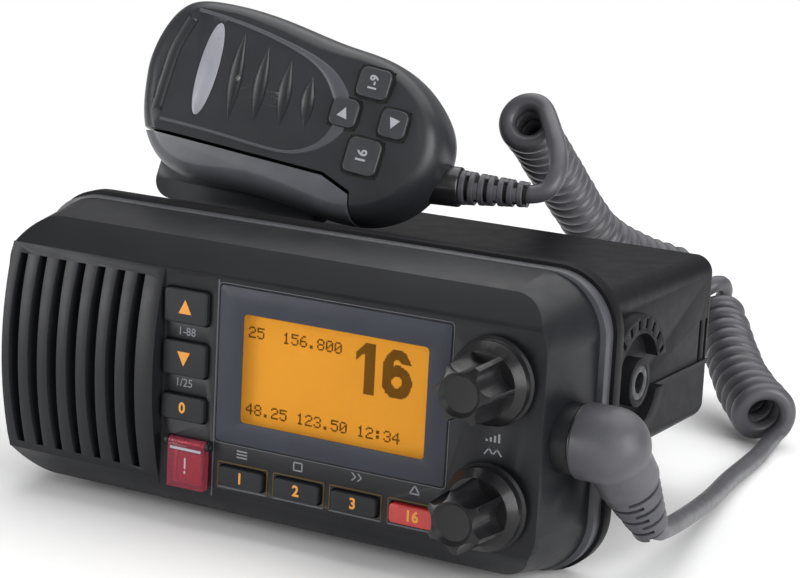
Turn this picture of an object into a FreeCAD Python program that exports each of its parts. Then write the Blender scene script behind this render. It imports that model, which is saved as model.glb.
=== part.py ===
import FreeCAD, Part
import math
import os

import Sketcher
from FreeCAD import Placement, Rotation, Vector

# Fixed-mount VHF marine radio with its hand microphone, in millimetres.
# X points right, Y to the rear and Z up. The flange and the cooling ribs stand on Z = 0,
# and X = 0, Y = 0 is the middle of the radio, without its cord.

SIZES = {
    "Front case": {
        "panel_y": -60, "panel_mid": 42.45, "panel_height": 60.9,
        "case_front_width": 172, "case_front_height": 74.2, "case_front_corner": 13.5,
        "case_rear_width": 179.4, "case_rear_height": 82.6, "case_rear_corner": 17,
        "case_depth": 24, "case_wall": 3, "case_side_wall": 2.8, "facet_rise": 7.9, "facet_depth": 7,
        "cavity_front_height": 60.2, "cavity_rear_height": 77, "cavity_corner": 9,
        "cavity_rear_corner": 14, "cavity_side_gap": 0.4,
        "bulge_height": 4.8, "bulge_right": -32, "bulge_inset": 1.4,
        "post_root": 0.5, "post_radius": 2.8, "post_high": 69.5, "post_low": 25,
        "post_left": -11.5, "post_right": 60,
        "boss_radius": 3.4, "boss_length": 10, "boss_inset": 6.1, "boss_low": 14, "boss_high": 71,
    },
    "Speaker": {
        "slot_count": 7, "slot_pitch": 6.78, "slot_width": 4.4, "slot_gap": 1.7,
        "slot_left": -83.1, "slot_low": 14.3, "slot_high": 70.1, "slot_run_out": 0.5,
        "cloth_thick": 0.5, "cloth_margin": 0.6, "speaker_x": -60.3, "speaker_radius": 22,
        "speaker_ring": 2.6, "ring_thick": 1.6, "basket_radius": 13, "basket_depth": 9,
        "basket_wall": 1.5, "magnet_radius": 15, "magnet_thick": 7, "paper_thick": 0.8,
        "paper_depth": 6.5, "paper_neck": 6, "paper_edge": 1, "cloth_board_gap": 2.4,
    },
    "Display": {
        "window_x": 22.55, "window_z": 48.85, "window_width": 71.7, "window_height": 44,
        "window_corner": 2, "window_thick": 2, "window_recess": 1.7, "seat_gap": 0.15,
        "aperture_width": 60.8, "aperture_height": 33.8, "glass_overlap": 1.2, "glass_thick": 1.6,
    },
    "Keys": {
        "key_proud": 1.5, "key_corner": 1.2, "key_gap": 0.3, "key_lip": 0.9, "key_lip_thick": 1.2,
        "key_rounding": 0.5, "lip_gap": 0.15,
        "column_width": 14.1, "column_x": -24.0, "up_height": 9.6, "up_z": 63.0,
        "down_height": 9.8, "down_z": 48.2, "enter_height": 7.2, "enter_z": 34.1,
        "row_z": 17.3, "row_height": 5.4, "row_width": 14.3,
        "row_first": -4.2, "row_second": 13.9, "row_third": 31.9, "row_fourth": 50.1,
        "distress_width": 7.6, "distress_height": 8, "distress_z": 17.4, "distress_proud": 0.9,
        "mat_thick": 1.2, "mat_left": -33.2, "mat_right": 58.2, "mat_low": 11.8, "mat_high": 71,
        "mat_step_x": -14.6, "mat_step_z": 21.6,
        "board_front": 8.3, "board_thick": 1.6, "board_left": -33.8, "board_right": 80,
        "board_low": 12.8, "board_high": 72.2,
    },
    "Flap": {
        "flap_x": -21.3, "flap_width": 11.8, "flap_low": 11.8, "pin_z": 24.6, "pin_forward": 1.6,
        "pin_radius": 0.6, "pin_gap": 0.05, "barrel_radius": 1.3, "flap_front": 3.1,
        "flap_wall": 1.3, "flap_rear": 0.3, "flap_top_gap": 0.3, "flap_barrel_gap": 0.4,
        "ear_thick": 1.1, "ear_gap": 0.25, "ear_reach": 1.35,
    },
    "Knobs": {
        "knob_x": 72, "volume_z": 58.4, "squelch_z": 24.6, "knob_gap": 1.8, "knob_length": 19,
        "knob_skirt": 11.9, "knob_skirt_front": 11.2, "knob_skirt_thick": 3.4, "knob_groove": 0.5,
        "knob_waist": 9.1, "knob_waist_rise": 2.4, "knob_shoulder": 8.3, "knob_shoulder_drop": 1,
        "knob_face": 5.9, "knob_face_rim": 1.2, "knob_dish": 1, "knob_hollow": 8.4,
        "knob_hollow_depth": 2.8, "knob_bore_depth": 12.2, "flute_count": 6, "flute_radius": 4.5,
        "flute_reach": 10.4, "squelch_turn": 25, "shaft_radius": 3, "shaft_gap": 0.05, "bush_radius": 4.5,
        "bush_gap": 0.1, "bush_proud": 2.4, "nut_radius": 6.6, "nut_thick": 1.6, "pot_side": 12,
        "pot_front": 3.3, "shaft_end_gap": 0.3,
    },
    "Socket": {
        "socket_y": 12.8, "socket_z": 43, "socket_radius": 9.5, "socket_left": 81,
        "socket_right": 91.5, "socket_bore": 7, "socket_bore_depth": 8, "socket_gap": 0.05,
    },
    "Chassis": {
        "gasket_inset": 1, "gasket_thick": 4.5, "gasket_side": 7.5, "gasket_rim": 6.5,
        "flange_width": 185, "flange_height": 85, "flange_corner": 18,
        "flange_thick": 4.5, "body_width": 160, "body_top": 73.1, "body_bottom": 22.6,
        "body_corner": 5.5, "hollow_corner": 4.5, "body_rear": 128.5, "body_wall": 3, "body_edge": 4,
        "rib_count": 11, "rib_span": 110, "rib_thick": 2.4, "rib_rear": 118,
        "ring_y": 66.1, "ring_z": 46.5, "ring_outer": 19.5, "ring_inner": 14, "ring_rise": 3.5,
        "notch_count": 11, "notch_width": 1.4, "notch_depth": 1.2, "notch_length": 2.8,
        "notch_start": 24, "channel_low": 42, "channel_high": 51.8, "ledge_rise": 0.8,
        "ledge_height": 1.4, "side_groove_width": 1.6, "side_groove_depth": 1,
        "side_groove_inset": 10.4, "side_groove_pitch": 4.4, "side_groove_high": 54.5,
        "hub_radius": 7, "hub_rise": 4, "hub_reach": 4, "insert_radius": 5, "insert_bore": 3,
        "insert_length": 9.5, "screw_radius": 1.5, "screw_gap": 0.1, "screw_grip": 0.05,
        "screw_head": 2.7, "screw_head_thick": 2, "screw_length": 8, "screw_tip_gap": 1,
    },
    "Rear connectors": {
        "antenna_x": -52, "antenna_z": 48, "antenna_flange": 11, "antenna_flange_thick": 2,
        "antenna_radius": 7.9, "antenna_end": 141, "antenna_bore": 5.9, "antenna_bore_depth": 8,
        "antenna_pin": 2, "antenna_pin_recess": 1, "antenna_inner": 6, "antenna_reach": 5,
        "power_x": -12, "power_z": 42, "power_radius": 5.5,
        "accessory_x": -29, "accessory_z": 42, "accessory_radius": 4,
        "gland_flange": 2, "gland_flange_thick": 2, "gland_nose": 8, "gland_taper": 1,
        "gland_cord_share": 0.5, "gland_gap": 0.05,
    },
    "Electronics": {
        "main_width": 130, "main_front": 38, "main_rear": 114, "main_z": 36, "main_post": 3.5,
        "main_post_inset": 5, "module_width": 60, "module_length": 40, "module_height": 12,
        "module_x": -20, "module_rear_gap": 15,
    },
    "Microphone": {
        "mic_x": -32.1, "mic_y": 68, "mic_rise": 39.9, "mic_yaw": 12, "mic_lean": 18,
        "mic_roll": 8.5, "mic_back": 32, "mic_wall": 2.4, "mic_foot_gap": 0.3,
        "mic_key_corner": 2.2, "mic_key_proud": 1.3, "mic_key_lip": 0.5, "mic_key_gap": 0.25,
        "mic_board_front": 8, "mic_board_thick": 1.6,
        "mic_board_left": -37, "mic_board_right": 29, "mic_board_low": -17.6,
        "mic_board_high": 12.2, "mic_post": 3.2, "mic_tower": 4, "mic_tower_inset": 1.5,
        "mic_post_bore": 1.45, "mic_post_left": -33, "mic_post_right": 3.5,
        "mic_post_high": 7.6, "mic_post_low": -13.4,
        "mic_screw_radius": 1.4, "mic_screw_head": 2.5, "mic_screw_head_thick": 1.8,
        "mic_screw_rise": 20, "capsule_x": -21.7, "capsule_z": 2, "capsule_radius": 4.8,
        "sound_hole": 0.9, "label_x": -31, "label_z": 2.3, "label_half_height": 14.4,
        "label_half_width": 3.1, "label_thick": 0.7, "label_recess": 0.4,
        "ptt_top": -20, "ptt_gap": 0.25, "ptt_travel": 0.8, "ptt_depth": 20,
        "switch_width": 7, "switch_height": 4, "switch_depth": 6, "switch_x": -12,
        "stud_x": -6, "stud_z": 0, "stud_neck": 4.5, "stud_head": 7, "stud_neck_length": 3.5,
        "stud_head_thick": 2.5,
    },
    "Cord": {
        "cord_radius": 2.8, "coil_radius": 8.5, "coil_turn_radius": 5.7,
        "collar_x": 38, "collar_z": -13.2, "collar_depth": 16, "collar_radius": 6,
        "collar_length": 13, "cable_rise": 8, "mic_relief_length": 20.5, "mic_relief_start": 5.2,
        "mic_relief_end": 3.9,
        "elbow_x": 100, "elbow_radius": 10.3, "plug_ring_thick": 0.9, "plug_ring_radius": 10.1,
        "plug_nose_radius": 6.95, "plug_nose": 7, "leg_radius": 8.6, "leg_length": 13,
        "relief_start": 8.2, "relief_end": 5.2, "relief_length": 19,
    },
}

# Shapes drawn by hand, one point after another.
# The widest outline of the microphone: along it, and up.
MIC_OUTLINE = [
    (-53.0, -3.0), (-51.5, 12.0), (-45.0, 21.8), (-36.0, 24.2), (-12.0, 23.6), (8.0, 20.8),
    (22.0, 19.2), (31.5, 15.6), (39.5, 9.6), (45.0, 2.2), (46.6, -5.0), (44.6, -15.0),
    (38.5, -24.0), (29.5, -29.6), (5.0, -30.6), (-18.0, -29.9), (-38.0, -29.2), (-48.0, -20.5),
]
MIC_MIDDLE = (-4.0, -3.0)
# How far each section lies behind the face, and how far it is drawn in from the outline.
MIC_FRONT_SECTIONS = [(0.0, 5.8), (1.8, 3.0), (6.0, 0.9), (14.0, 0.0)]
MIC_FRONT_HOLLOW = [(2.4, 7.6), (6.0, 3.6), (14.0, 2.4)]
MIC_REAR_SECTIONS = [(14.0, 0.0), (20.0, 0.9), (27.0, 4.6), (32.0, 11.0)]
MIC_REAR_HOLLOW = [(14.0, 2.4), (20.0, 3.4), (26.0, 7.4), (29.6, 12.5)]
# The lower edge of the shells, which the push-to-talk bar fills.
PTT_OUTLINE = [(-60.0, 0.0), (13.0, 0.0), (22.5, -3.5), (26.0, -18.0), (-60.0, -18.0)]
# The grip at the back of the microphone: its left and right ends, low and high edges, front and back.
GRIP_BOX = {"left": -46.0, "right": 8.0, "low": -37.2, "high": -22.0, "front": 20.6, "back": 31.0}
GRIP_CORNER = 6.0
# Key places on the microphone: name, along, up, width, height.
MIC_KEYS = [
    ("mic_key_scan", 21.1, 10.1, 10.0, 9.0),
    ("mic_key_up", 14.7, -0.4, 8.4, 8.6),
    ("mic_key_down", 30.3, -0.2, 8.4, 8.6),
    ("mic_key_sixteen", 23.9, -11.7, 10.4, 10.8),
]
# Cord routes, with Y measured from the front panel.
RELIEF_AIM = (0.16, 0.57, -0.81)
TAIL_FIRST_RUN = 4.5
TAIL_POINTS = [
    (102.5, 42.0, 9.5), (97.0, 56.0, 4.2), (92.6, 70.5, 2.9), (91.3, 86.0, 2.9),
    (91.4, 99.0, 2.9), (89.8, 114.0, 2.9), (87.2, 136.0, 2.9), (86.2, 156.0, 2.9),
]
TAIL_LAST_RUN = 12.0
COIL_POINTS = [
    (21.8, 111.1, 108.9), (18.6, 131.0, 97.1), (16.2, 150.1, 85.7), (14.4, 168.4, 73.9),
    (13.9, 186.2, 62.0), (17.9, 201.6, 54.1), (22.4, 217.7, 48.1), (28.2, 231.4, 43.6),
    (35.0, 237.1, 37.6), (41.6, 235.4, 30.4), (49.2, 226.3, 23.6), (58.3, 213.6, 18.3),
    (68.4, 200.6, 13.2), (79.7, 186.0, 10.4),
]
LEAD_FIRST_RUN = 5.4
LEAD_POINTS = [(40.6, 96.0, 95.4), (38.6, 100.8, 100.6), (34.4, 105.8, 105.8)]
LEAD_SIDE = (0.903, 0.222, 0.367)
LEAD_END_GAP = 0.3
SIDE_RUN_SHARE = 0.45

doc = FreeCAD.newDocument("marine_radio")
sheet = doc.addObject("Spreadsheet::Sheet", "Sizes")


class Dim:
    """A size: its number, and the sheet expression that gives it."""

    def __init__(self, value, text):
        self.value = float(value)
        self.text = text

    def joined(self, sign, other, value):
        return Dim(value, f"({self.text} {sign} {as_dim(other).text})")

    def __add__(self, other):
        return self.joined("+", other, self.value + as_dim(other).value)

    def __sub__(self, other):
        return self.joined("-", other, self.value - as_dim(other).value)

    def __mul__(self, other):
        return self.joined("*", other, self.value * as_dim(other).value)

    def __truediv__(self, other):
        return self.joined("/", other, self.value / as_dim(other).value)

    def __neg__(self):
        return Dim(-self.value, f"(0 - {self.text})")


def as_dim(size):
    return size if isinstance(size, Dim) else Dim(size, repr(float(size)))


class Sizes:
    """Every driving size of the sheet, by its alias."""


S = Sizes()


def fill_sheet():
    row = 1
    for section, cells in SIZES.items():
        sheet.set(f"A{row}", section)
        row += 1
        for alias, number in cells.items():
            sheet.set(f"A{row}", alias)
            sheet.set(f"B{row}", str(number))
            sheet.setAlias(f"B{row}", alias)
            row += 1
    doc.recompute()
    for cells in SIZES.values():
        for alias in cells:
            setattr(S, alias, Dim(getattr(sheet, alias), f"Sizes.{alias}"))


fill_sheet()
ZERO = Dim(0, "0")
PANEL = S.panel_y
# How far a cutting or joining piece reaches past a face, and how near two edges count as one.
PAST = 1
SAME_PLACE = 0.001
nodes = []

# ---------------------------------------------------------------- ways to make a piece

TURN_TO = {
    "x": Rotation(Vector(0, 1, 0), 90),
    "y": Rotation(Vector(1, 0, 0), -90),
    "z": Rotation(),
}


def node(item):
    """Counts the item as a sub-part. Its label names its file."""
    nodes.append(item)
    return item


def move(item, x, y, z):
    """Puts the item's own origin at a place that the sheet gives."""
    for axis, size in (("x", x), ("y", y), ("z", z)):
        item.setExpression(f"Placement.Base.{axis}", as_dim(size).text)
    return item


def box(name, x, y, z):
    """A block between two sizes along each axis."""
    item = doc.addObject("Part::Box", name)
    for side, (low, high) in (("Length", x), ("Width", y), ("Height", z)):
        item.setExpression(side, (as_dim(high) - low).text)
    return move(item, x[0], y[0], z[0])


def cylinder(name, axis, radius, length, x, y, z):
    """A cylinder that starts at a place and runs along +axis."""
    item = doc.addObject("Part::Cylinder", name)
    item.setExpression("Radius", as_dim(radius).text)
    item.setExpression("Height", as_dim(length).text)
    item.Placement = Placement(Vector(), TURN_TO[axis])
    return move(item, x, y, z)


def cone(name, axis, first_radius, last_radius, length, x, y, z):
    item = doc.addObject("Part::Cone", name)
    item.setExpression("Radius1", as_dim(first_radius).text)
    item.setExpression("Radius2", as_dim(last_radius).text)
    item.setExpression("Height", as_dim(length).text)
    item.Placement = Placement(Vector(), TURN_TO[axis])
    return move(item, x, y, z)


def join(name, *items):
    """One solid from pieces that are one moulding."""
    item = doc.addObject("Part::MultiFuse", name)
    item.Shapes = list(items)
    return item


def cut(name, base, *tools):
    item = doc.addObject("Part::Cut", name)
    item.Base = base
    item.Tool = tools[0] if len(tools) == 1 else join(f"{name}_tools", *tools)
    return item


def group(name, *items):
    """Several identical solids that share one node."""
    item = doc.addObject("Part::Compound", name)
    item.Links = list(items)
    return item


def feature(name, shape, placement=None):
    """A shape made with Part's own functions, put in place afterwards."""
    item = doc.addObject("Part::Feature", name)
    item.Shape = shape
    item.Placement = placement or Placement()
    return item


def sketch_on(body, role, name, offset=ZERO):
    """A sketch on one of the body's own origin planes, moved along its normal."""
    plane = next(item for item in body.Origin.OriginFeatures if item.Role == role)
    sketch = body.newObject("Sketcher::SketchObject", name)
    sketch.AttachmentSupport = [(plane, "")]
    sketch.MapMode = "FlatFace"
    sketch.setExpression("AttachmentOffset.Base.z", offset.text)
    return sketch


def constrain(sketch, kind, *where, size=None):
    """Adds a constraint, bound to the sheet where it has a size."""
    if size is None:
        return sketch.addConstraint(Sketcher.Constraint(kind, *where))
    index = sketch.addConstraint(Sketcher.Constraint(kind, *where, size.value))
    sketch.setExpression(f"Constraints[{index}]", size.text)
    return index


START, END, MIDDLE = 1, 2, 3
ORIGIN = (-1, 1)


def round_rectangle(sketch, width, height, corner):
    """A rectangle with round corners about the sketch's origin."""
    half_w, half_h, r = width.value / 2, height.value / 2, corner.value
    inner_w, inner_h = half_w - r, half_h - r
    line_ends = [
        ((-inner_w, -half_h), (inner_w, -half_h)), ((half_w, -inner_h), (half_w, inner_h)),
        ((inner_w, half_h), (-inner_w, half_h)), ((-half_w, inner_h), (-half_w, -inner_h)),
    ]
    arc_middles = [(inner_w, -inner_h), (inner_w, inner_h), (-inner_w, inner_h), (-inner_w, -inner_h)]
    lines = []
    arcs = []
    for side, (ends, middle) in enumerate(zip(line_ends, arc_middles)):
        first, last = (Vector(*end, 0) for end in ends)
        lines.append(sketch.addGeometry(Part.LineSegment(first, last)))
        circle = Part.Circle(Vector(*middle, 0), Vector(0, 0, 1), r)
        start = math.radians(270 + 90 * side)
        arcs.append(sketch.addGeometry(Part.ArcOfCircle(circle, start, start + math.pi / 2)))
    for side in range(4):
        constrain(sketch, "Tangent", lines[side], END, arcs[side], START)
        constrain(sketch, "Tangent", arcs[side], END, lines[(side + 1) % 4], START)
        constrain(sketch, "Vertical" if side % 2 else "Horizontal", lines[side])
    for arc in arcs[1:]:
        constrain(sketch, "Equal", arcs[0], arc)
    constrain(sketch, "Radius", arcs[0], size=corner)
    constrain(sketch, "DistanceX", lines[3], START, lines[1], START, size=width)
    constrain(sketch, "DistanceY", lines[0], START, lines[2], START, size=height)
    constrain(sketch, "Symmetric", arcs[3], MIDDLE, arcs[1], MIDDLE, *ORIGIN)


def polygon(sketch, points):
    """A closed outline of straight edges, each corner placed from the sketch's origin."""
    corners = [Vector(as_dim(across).value, as_dim(up).value, 0) for across, up in points]
    lines = []
    for index, corner in enumerate(corners):
        following = corners[(index + 1) % len(corners)]
        lines.append(sketch.addGeometry(Part.LineSegment(corner, following)))
    for index, (across, up) in enumerate(points):
        constrain(sketch, "Coincident", lines[index - 1], END, lines[index], START)
        constrain(sketch, "DistanceX", *ORIGIN, lines[index], START, size=as_dim(across))
        constrain(sketch, "DistanceY", *ORIGIN, lines[index], START, size=as_dim(up))


def new_body(name):
    return doc.addObject("PartDesign::Body", name)


def pad(body, sketch, length, backwards=True):
    """Adds material. On the upright XZ plane, backwards is towards +Y."""
    step = body.newObject("PartDesign::Pad", f"{sketch.Name}_pad")
    step.Profile = sketch
    step.setExpression("Length", as_dim(length).text)
    step.Reversed = backwards
    return step


def pocket(body, sketch, length, backwards=True):
    """Takes material away, towards +Y from the XZ plane when backwards."""
    step = body.newObject("PartDesign::Pocket", f"{sketch.Name}_pocket")
    step.Profile = sketch
    step.setExpression("Length", as_dim(length).text)
    step.Reversed = not backwards
    return step


def upright(name, width, height, corner, thick, x, y, z):
    """A round-cornered plate that faces the front: Y is its front face."""
    body = new_body(name)
    outline = sketch_on(body, "XZ_Plane", f"{name}_outline")
    round_rectangle(outline, width, height, corner)
    pad(body, outline, thick)
    return move(body, x, y, z)


def edges_at(shape, y):
    """The edges that lie in one upright plane."""
    found = []
    for index, edge in enumerate(shape.Edges, 1):
        span = edge.BoundBox
        if abs(span.YMin - y) < SAME_PLACE and abs(span.YMax - y) < SAME_PLACE:
            found.append(f"Edge{index}")
    return found


def round_front(body, step, y, radius):
    """Rounds the edges of the face at y."""
    doc.recompute()
    rounding = body.newObject("PartDesign::Fillet", f"{body.Name}_rounding")
    rounding.Base = (step, edges_at(step.Shape, y))
    rounding.setExpression("Radius", radius.text)
    return rounding


# ---------------------------------------------------------------- front case


def lofted(name, front, rear, depth, start):
    """A round-cornered block that widens from its front outline to its rear outline."""
    body = new_body(name)
    outlines = []
    for end, (width, height, corner), offset in (
        ("front", front, -start), ("rear", rear, -(start + depth)),
    ):
        outline = sketch_on(body, "XZ_Plane", f"{name}_{end}", offset)
        round_rectangle(outline, width, height, corner)
        outlines.append(outline)
    loft = body.newObject("PartDesign::AdditiveLoft", f"{name}_loft")
    loft.Profile = outlines[0]
    loft.Sections = [outlines[1]]
    loft.Ruled = True
    return move(body, ZERO, PANEL, S.panel_mid)


def facet_cutter():
    """The wedges that cut the sloping facets above and below the panel."""
    body = new_body("facet_cutter")
    half = S.panel_height / 2
    slope = S.facet_rise / S.facet_depth
    lead = S.facet_depth
    for name, sign in (("upper", 1), ("lower", -1)):
        sketch = sketch_on(body, "YZ_Plane", f"facet_{name}", -S.case_front_width)
        near = (half - slope * lead) * sign
        far = (half + slope * lead * 2) * sign
        polygon(sketch, [(-lead, near), (lead * 2, far), (-lead, far)])
        body_part = pad(body, sketch, S.case_front_width * 2, backwards=False)
        if name == "upper":
            body.AllowCompound = True
        body_part.Refine = False
    return move(body, ZERO, PANEL, S.panel_mid)


def speaker_bulge():
    """The speaker part of the panel swells forward as a cylinder about X."""
    half = S.panel_height / 2
    radius = (half * half + S.bulge_height * S.bulge_height) / (S.bulge_height * 2)
    left = S.bulge_inset - S.case_front_width / 2
    drum = cylinder("bulge_drum", "x", radius, S.bulge_right - left,
                    left, PANEL + radius - S.bulge_height, S.panel_mid)
    front = box("bulge_front", (left, S.bulge_right), (PANEL - S.bulge_height * 2, PANEL + PAST),
                (S.panel_mid - half, S.panel_mid + half))
    bulge = doc.addObject("Part::Common", "speaker_bulge")
    bulge.Base = drum
    bulge.Tool = front
    return bulge


def slot_cutter():
    """The upright slots before the speaker: each narrows to a gap at the back."""
    depth = S.bulge_height * 2
    cutters = []
    for index in range(round(S.slot_count.value)):
        body = new_body(f"slot_{index + 1}")
        sketch = sketch_on(body, "XY_Plane", f"slot_{index + 1}_section")
        rear = S.case_wall + S.slot_run_out
        left = S.slot_width - S.slot_gap
        polygon(sketch, [(ZERO, -depth), (S.slot_width, -depth), (S.slot_width, rear), (left, rear)])
        pad(body, sketch, S.slot_high - S.slot_low, backwards=False)
        cutters.append(move(body, S.slot_left + S.slot_pitch * index, PANEL, S.slot_low))
    return cutters


KEYS = [
    ("key_up", S.column_x, S.up_z, S.column_width, S.up_height),
    ("key_down", S.column_x, S.down_z, S.column_width, S.down_height),
    ("key_enter", S.column_x, S.enter_z, S.column_width, S.enter_height),
    ("key_one", S.row_first, S.row_z, S.row_width, S.row_height),
    ("key_two", S.row_second, S.row_z, S.row_width, S.row_height),
    ("key_three", S.row_third, S.row_z, S.row_width, S.row_height),
    ("key_sixteen", S.row_fourth, S.row_z, S.row_width, S.row_height),
    ("distress_key", S.flap_x, S.distress_z, S.distress_width, S.distress_height),
]
POST_PLACES = [
    (S.post_left, S.post_high), (S.post_right, S.post_high),
    (S.post_left, S.post_low), (S.post_right, S.post_low),
]
CASE_SCREW_X = S.case_rear_width / 2 - S.boss_inset
CASE_SCREW_PLACES = [
    (CASE_SCREW_X, S.boss_low), (CASE_SCREW_X, S.boss_high),
    (-CASE_SCREW_X, S.boss_low), (-CASE_SCREW_X, S.boss_high),
]
CASE_REAR = PANEL + S.case_depth
GASKET_REAR = CASE_REAR + S.gasket_thick
FLANGE_REAR = GASKET_REAR + S.flange_thick
BODY_REAR = PANEL + S.body_rear
THREAD = S.screw_radius + S.screw_grip
CLEAR_HOLE = S.screw_radius + S.screw_gap


def key_opening(name, x, z, width, height):
    wide = width + S.key_gap * 2
    tall = height + S.key_gap * 2
    return upright(f"{name}_opening", wide, tall, S.key_corner, S.case_wall + PAST * 2,
                   x, PANEL - PAST, z)


def flap_ears():
    """Two ears on the panel that carry the flap's pin."""
    ears = []
    reach = S.flap_width / 2 + S.ear_gap
    centre_y = PANEL - S.pin_forward
    for side, low in (("left", S.flap_x - reach - S.ear_thick), ("right", S.flap_x + reach)):
        high = low + S.ear_thick
        ears.append(cylinder(f"{side}_ear_eye", "x", S.ear_reach, S.ear_thick, low, centre_y, S.pin_z))
        ears.append(box(f"{side}_ear_root", (low, high), (centre_y, PANEL + PAST),
                        (S.pin_z - S.ear_reach, S.pin_z + S.ear_reach)))
    return ears


def front_bezel():
    outer = lofted("case_blank", (S.case_front_width, S.case_front_height, S.case_front_corner),
                   (S.case_rear_width, S.case_rear_height, S.case_rear_corner), S.case_depth, ZERO)
    hollow = lofted("case_hollow",
                    (S.case_front_width - (S.case_side_wall + S.cavity_side_gap) * 2,
                     S.cavity_front_height, S.cavity_corner),
                    (S.case_rear_width - S.case_side_wall * 2, S.cavity_rear_height,
                     S.cavity_rear_corner),
                    S.case_depth - S.case_wall, S.case_wall)
    faceted = cut("faceted_case", outer, facet_cutter())
    skin = join("case_skin", faceted, speaker_bulge())
    shell = cut("case_shell", skin, hollow)
    details = [shell]
    post_length = S.board_front - S.case_wall + S.post_root
    for index, (x, z) in enumerate(POST_PLACES, 1):
        details.append(cylinder(f"post_{index}", "y", S.post_radius, post_length,
                                x, PANEL + S.case_wall - S.post_root, z))
    for index, (x, z) in enumerate(CASE_SCREW_PLACES, 1):
        details.append(cylinder(f"boss_{index}", "y", S.boss_radius, S.boss_length,
                                x, CASE_REAR - S.boss_length, z))
    details += flap_ears()
    tools = slot_cutter()
    recess_width = S.window_width + S.seat_gap * 2
    recess_height = S.window_height + S.seat_gap * 2
    tools.append(upright("window_recess", recess_width, recess_height, S.window_corner + S.seat_gap,
                         S.window_recess + PAST, S.window_x, PANEL - PAST, S.window_z))
    tools.append(box("display_aperture",
                     (S.window_x - S.aperture_width / 2, S.window_x + S.aperture_width / 2),
                     (PANEL - PAST, PANEL + S.case_wall + PAST),
                     (S.window_z - S.aperture_height / 2, S.window_z + S.aperture_height / 2)))
    for name, x, z, width, height in KEYS:
        tools.append(key_opening(name, x, z, width, height))
    for name, z in (("volume", S.volume_z), ("squelch", S.squelch_z)):
        tools.append(cylinder(f"{name}_hole", "y", S.bush_radius + S.bush_gap, S.case_wall + PAST * 2,
                              S.knob_x, PANEL - PAST, z))
    tools.append(cylinder("socket_hole", "x", S.socket_radius + S.socket_gap,
                          S.socket_right - S.socket_left + PAST * 2, S.socket_left - PAST,
                          PANEL + S.socket_y, S.socket_z))
    tools.append(cylinder("pin_hole", "x", S.pin_radius + S.pin_gap, S.flap_width * 2,
                          S.flap_x - S.flap_width, PANEL - S.pin_forward, S.pin_z))
    for index, (x, z) in enumerate(POST_PLACES, 1):
        tools.append(cylinder(f"post_bore_{index}", "y", THREAD, post_length,
                              x, PANEL + S.case_wall, z))
    for index, (x, z) in enumerate(CASE_SCREW_PLACES, 1):
        tools.append(cylinder(f"boss_bore_{index}", "y", THREAD, S.screw_length,
                              x, CASE_REAR - S.screw_length, z))
    node(cut("front_bezel", join("case_with_posts", *details), *tools))


def display():
    """The window plate, the glass behind it and the light guide."""
    node(upright("display_window", S.window_width, S.window_height, S.window_corner,
                 S.window_thick, S.window_x, PANEL + S.window_recess - S.window_thick, S.window_z))
    glass_width = S.aperture_width + S.glass_overlap * 2
    glass_height = S.aperture_height + S.glass_overlap * 2
    glass_front = PANEL + S.case_wall
    light_front = glass_front + S.glass_thick
    for name, front, rear in (
        ("lcd_glass", glass_front, light_front), ("backlight", light_front, PANEL + S.board_front),
    ):
        node(box(name, (S.window_x - glass_width / 2, S.window_x + glass_width / 2), (front, rear),
                 (S.window_z - glass_height / 2, S.window_z + glass_height / 2)))


def key_cap(name, width, height, corner, proud, wall, lip, lip_gap):
    """A key: its cap stands proud of the wall, and a lip behind the wall holds it in."""
    body = new_body(name)
    cap = sketch_on(body, "XZ_Plane", f"{name}_cap", proud)
    round_rectangle(cap, width, height, corner)
    cap_step = pad(body, cap, proud + wall + lip_gap + S.key_lip_thick)
    flange = sketch_on(body, "XZ_Plane", f"{name}_lip", -(wall + lip_gap))
    round_rectangle(flange, width + lip * 2, height + lip * 2, corner)
    lip_step = pad(body, flange, S.key_lip_thick)
    rounding = round_front(body, lip_step, -proud.value, S.key_rounding)
    body.Tip = rounding
    return body


def keys():
    for name, x, z, width, height in KEYS:
        proud = S.distress_proud if name == "distress_key" else S.key_proud
        key = key_cap(name, width, height, S.key_corner, proud, S.case_wall, S.key_lip, S.lip_gap)
        node(move(key, x, PANEL, z))


def keypad_mat():
    """The L-shaped rubber mat between the keys and the board."""
    body = new_body("keypad_mat")
    sketch = sketch_on(body, "XZ_Plane", "keypad_mat_outline")
    polygon(sketch, [
        (S.mat_left, S.mat_low), (S.mat_right, S.mat_low), (S.mat_right, S.mat_step_z),
        (S.mat_step_x, S.mat_step_z), (S.mat_step_x, S.mat_high), (S.mat_left, S.mat_high),
    ])
    pad(body, sketch, S.mat_thick)
    node(move(body, ZERO, PANEL + S.board_front - S.mat_thick, ZERO))


def screw(name, axis, x, y, z, length):
    """A pan-head screw whose shank starts under the head at a place."""
    if axis == "y":
        shank = cylinder(f"{name}_shank", "y", S.screw_radius, length, x, y - length, z)
        head = cylinder(f"{name}_head", "y", S.screw_head, S.screw_head_thick, x, y, z)
    else:
        shank = cylinder(f"{name}_shank", "z", S.screw_radius, length, x, y, z - length)
        head = cylinder(f"{name}_head", "z", S.screw_head, S.screw_head_thick, x, y, z)
    return join(name, shank, head)


def front_board():
    """The board behind the keys and the display, on the case's four posts."""
    board = box("front_board_blank", (S.board_left, S.board_right),
                (PANEL + S.board_front, PANEL + S.board_front + S.board_thick),
                (S.board_low, S.board_high))
    holes = []
    screws = []
    for index, (x, z) in enumerate(POST_PLACES, 1):
        holes.append(cylinder(f"board_hole_{index}", "y", CLEAR_HOLE, S.board_thick + PAST * 2,
                              x, PANEL + S.board_front - PAST, z))
        screws.append(screw(f"front_screw_{index}", "y", x, PANEL + S.board_front + S.board_thick, z,
                            S.board_thick + S.board_front - S.case_wall - S.screw_tip_gap))
    node(cut("front_board", board, *holes))
    return screws


# ---------------------------------------------------------------- flap, knobs and speaker


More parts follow.
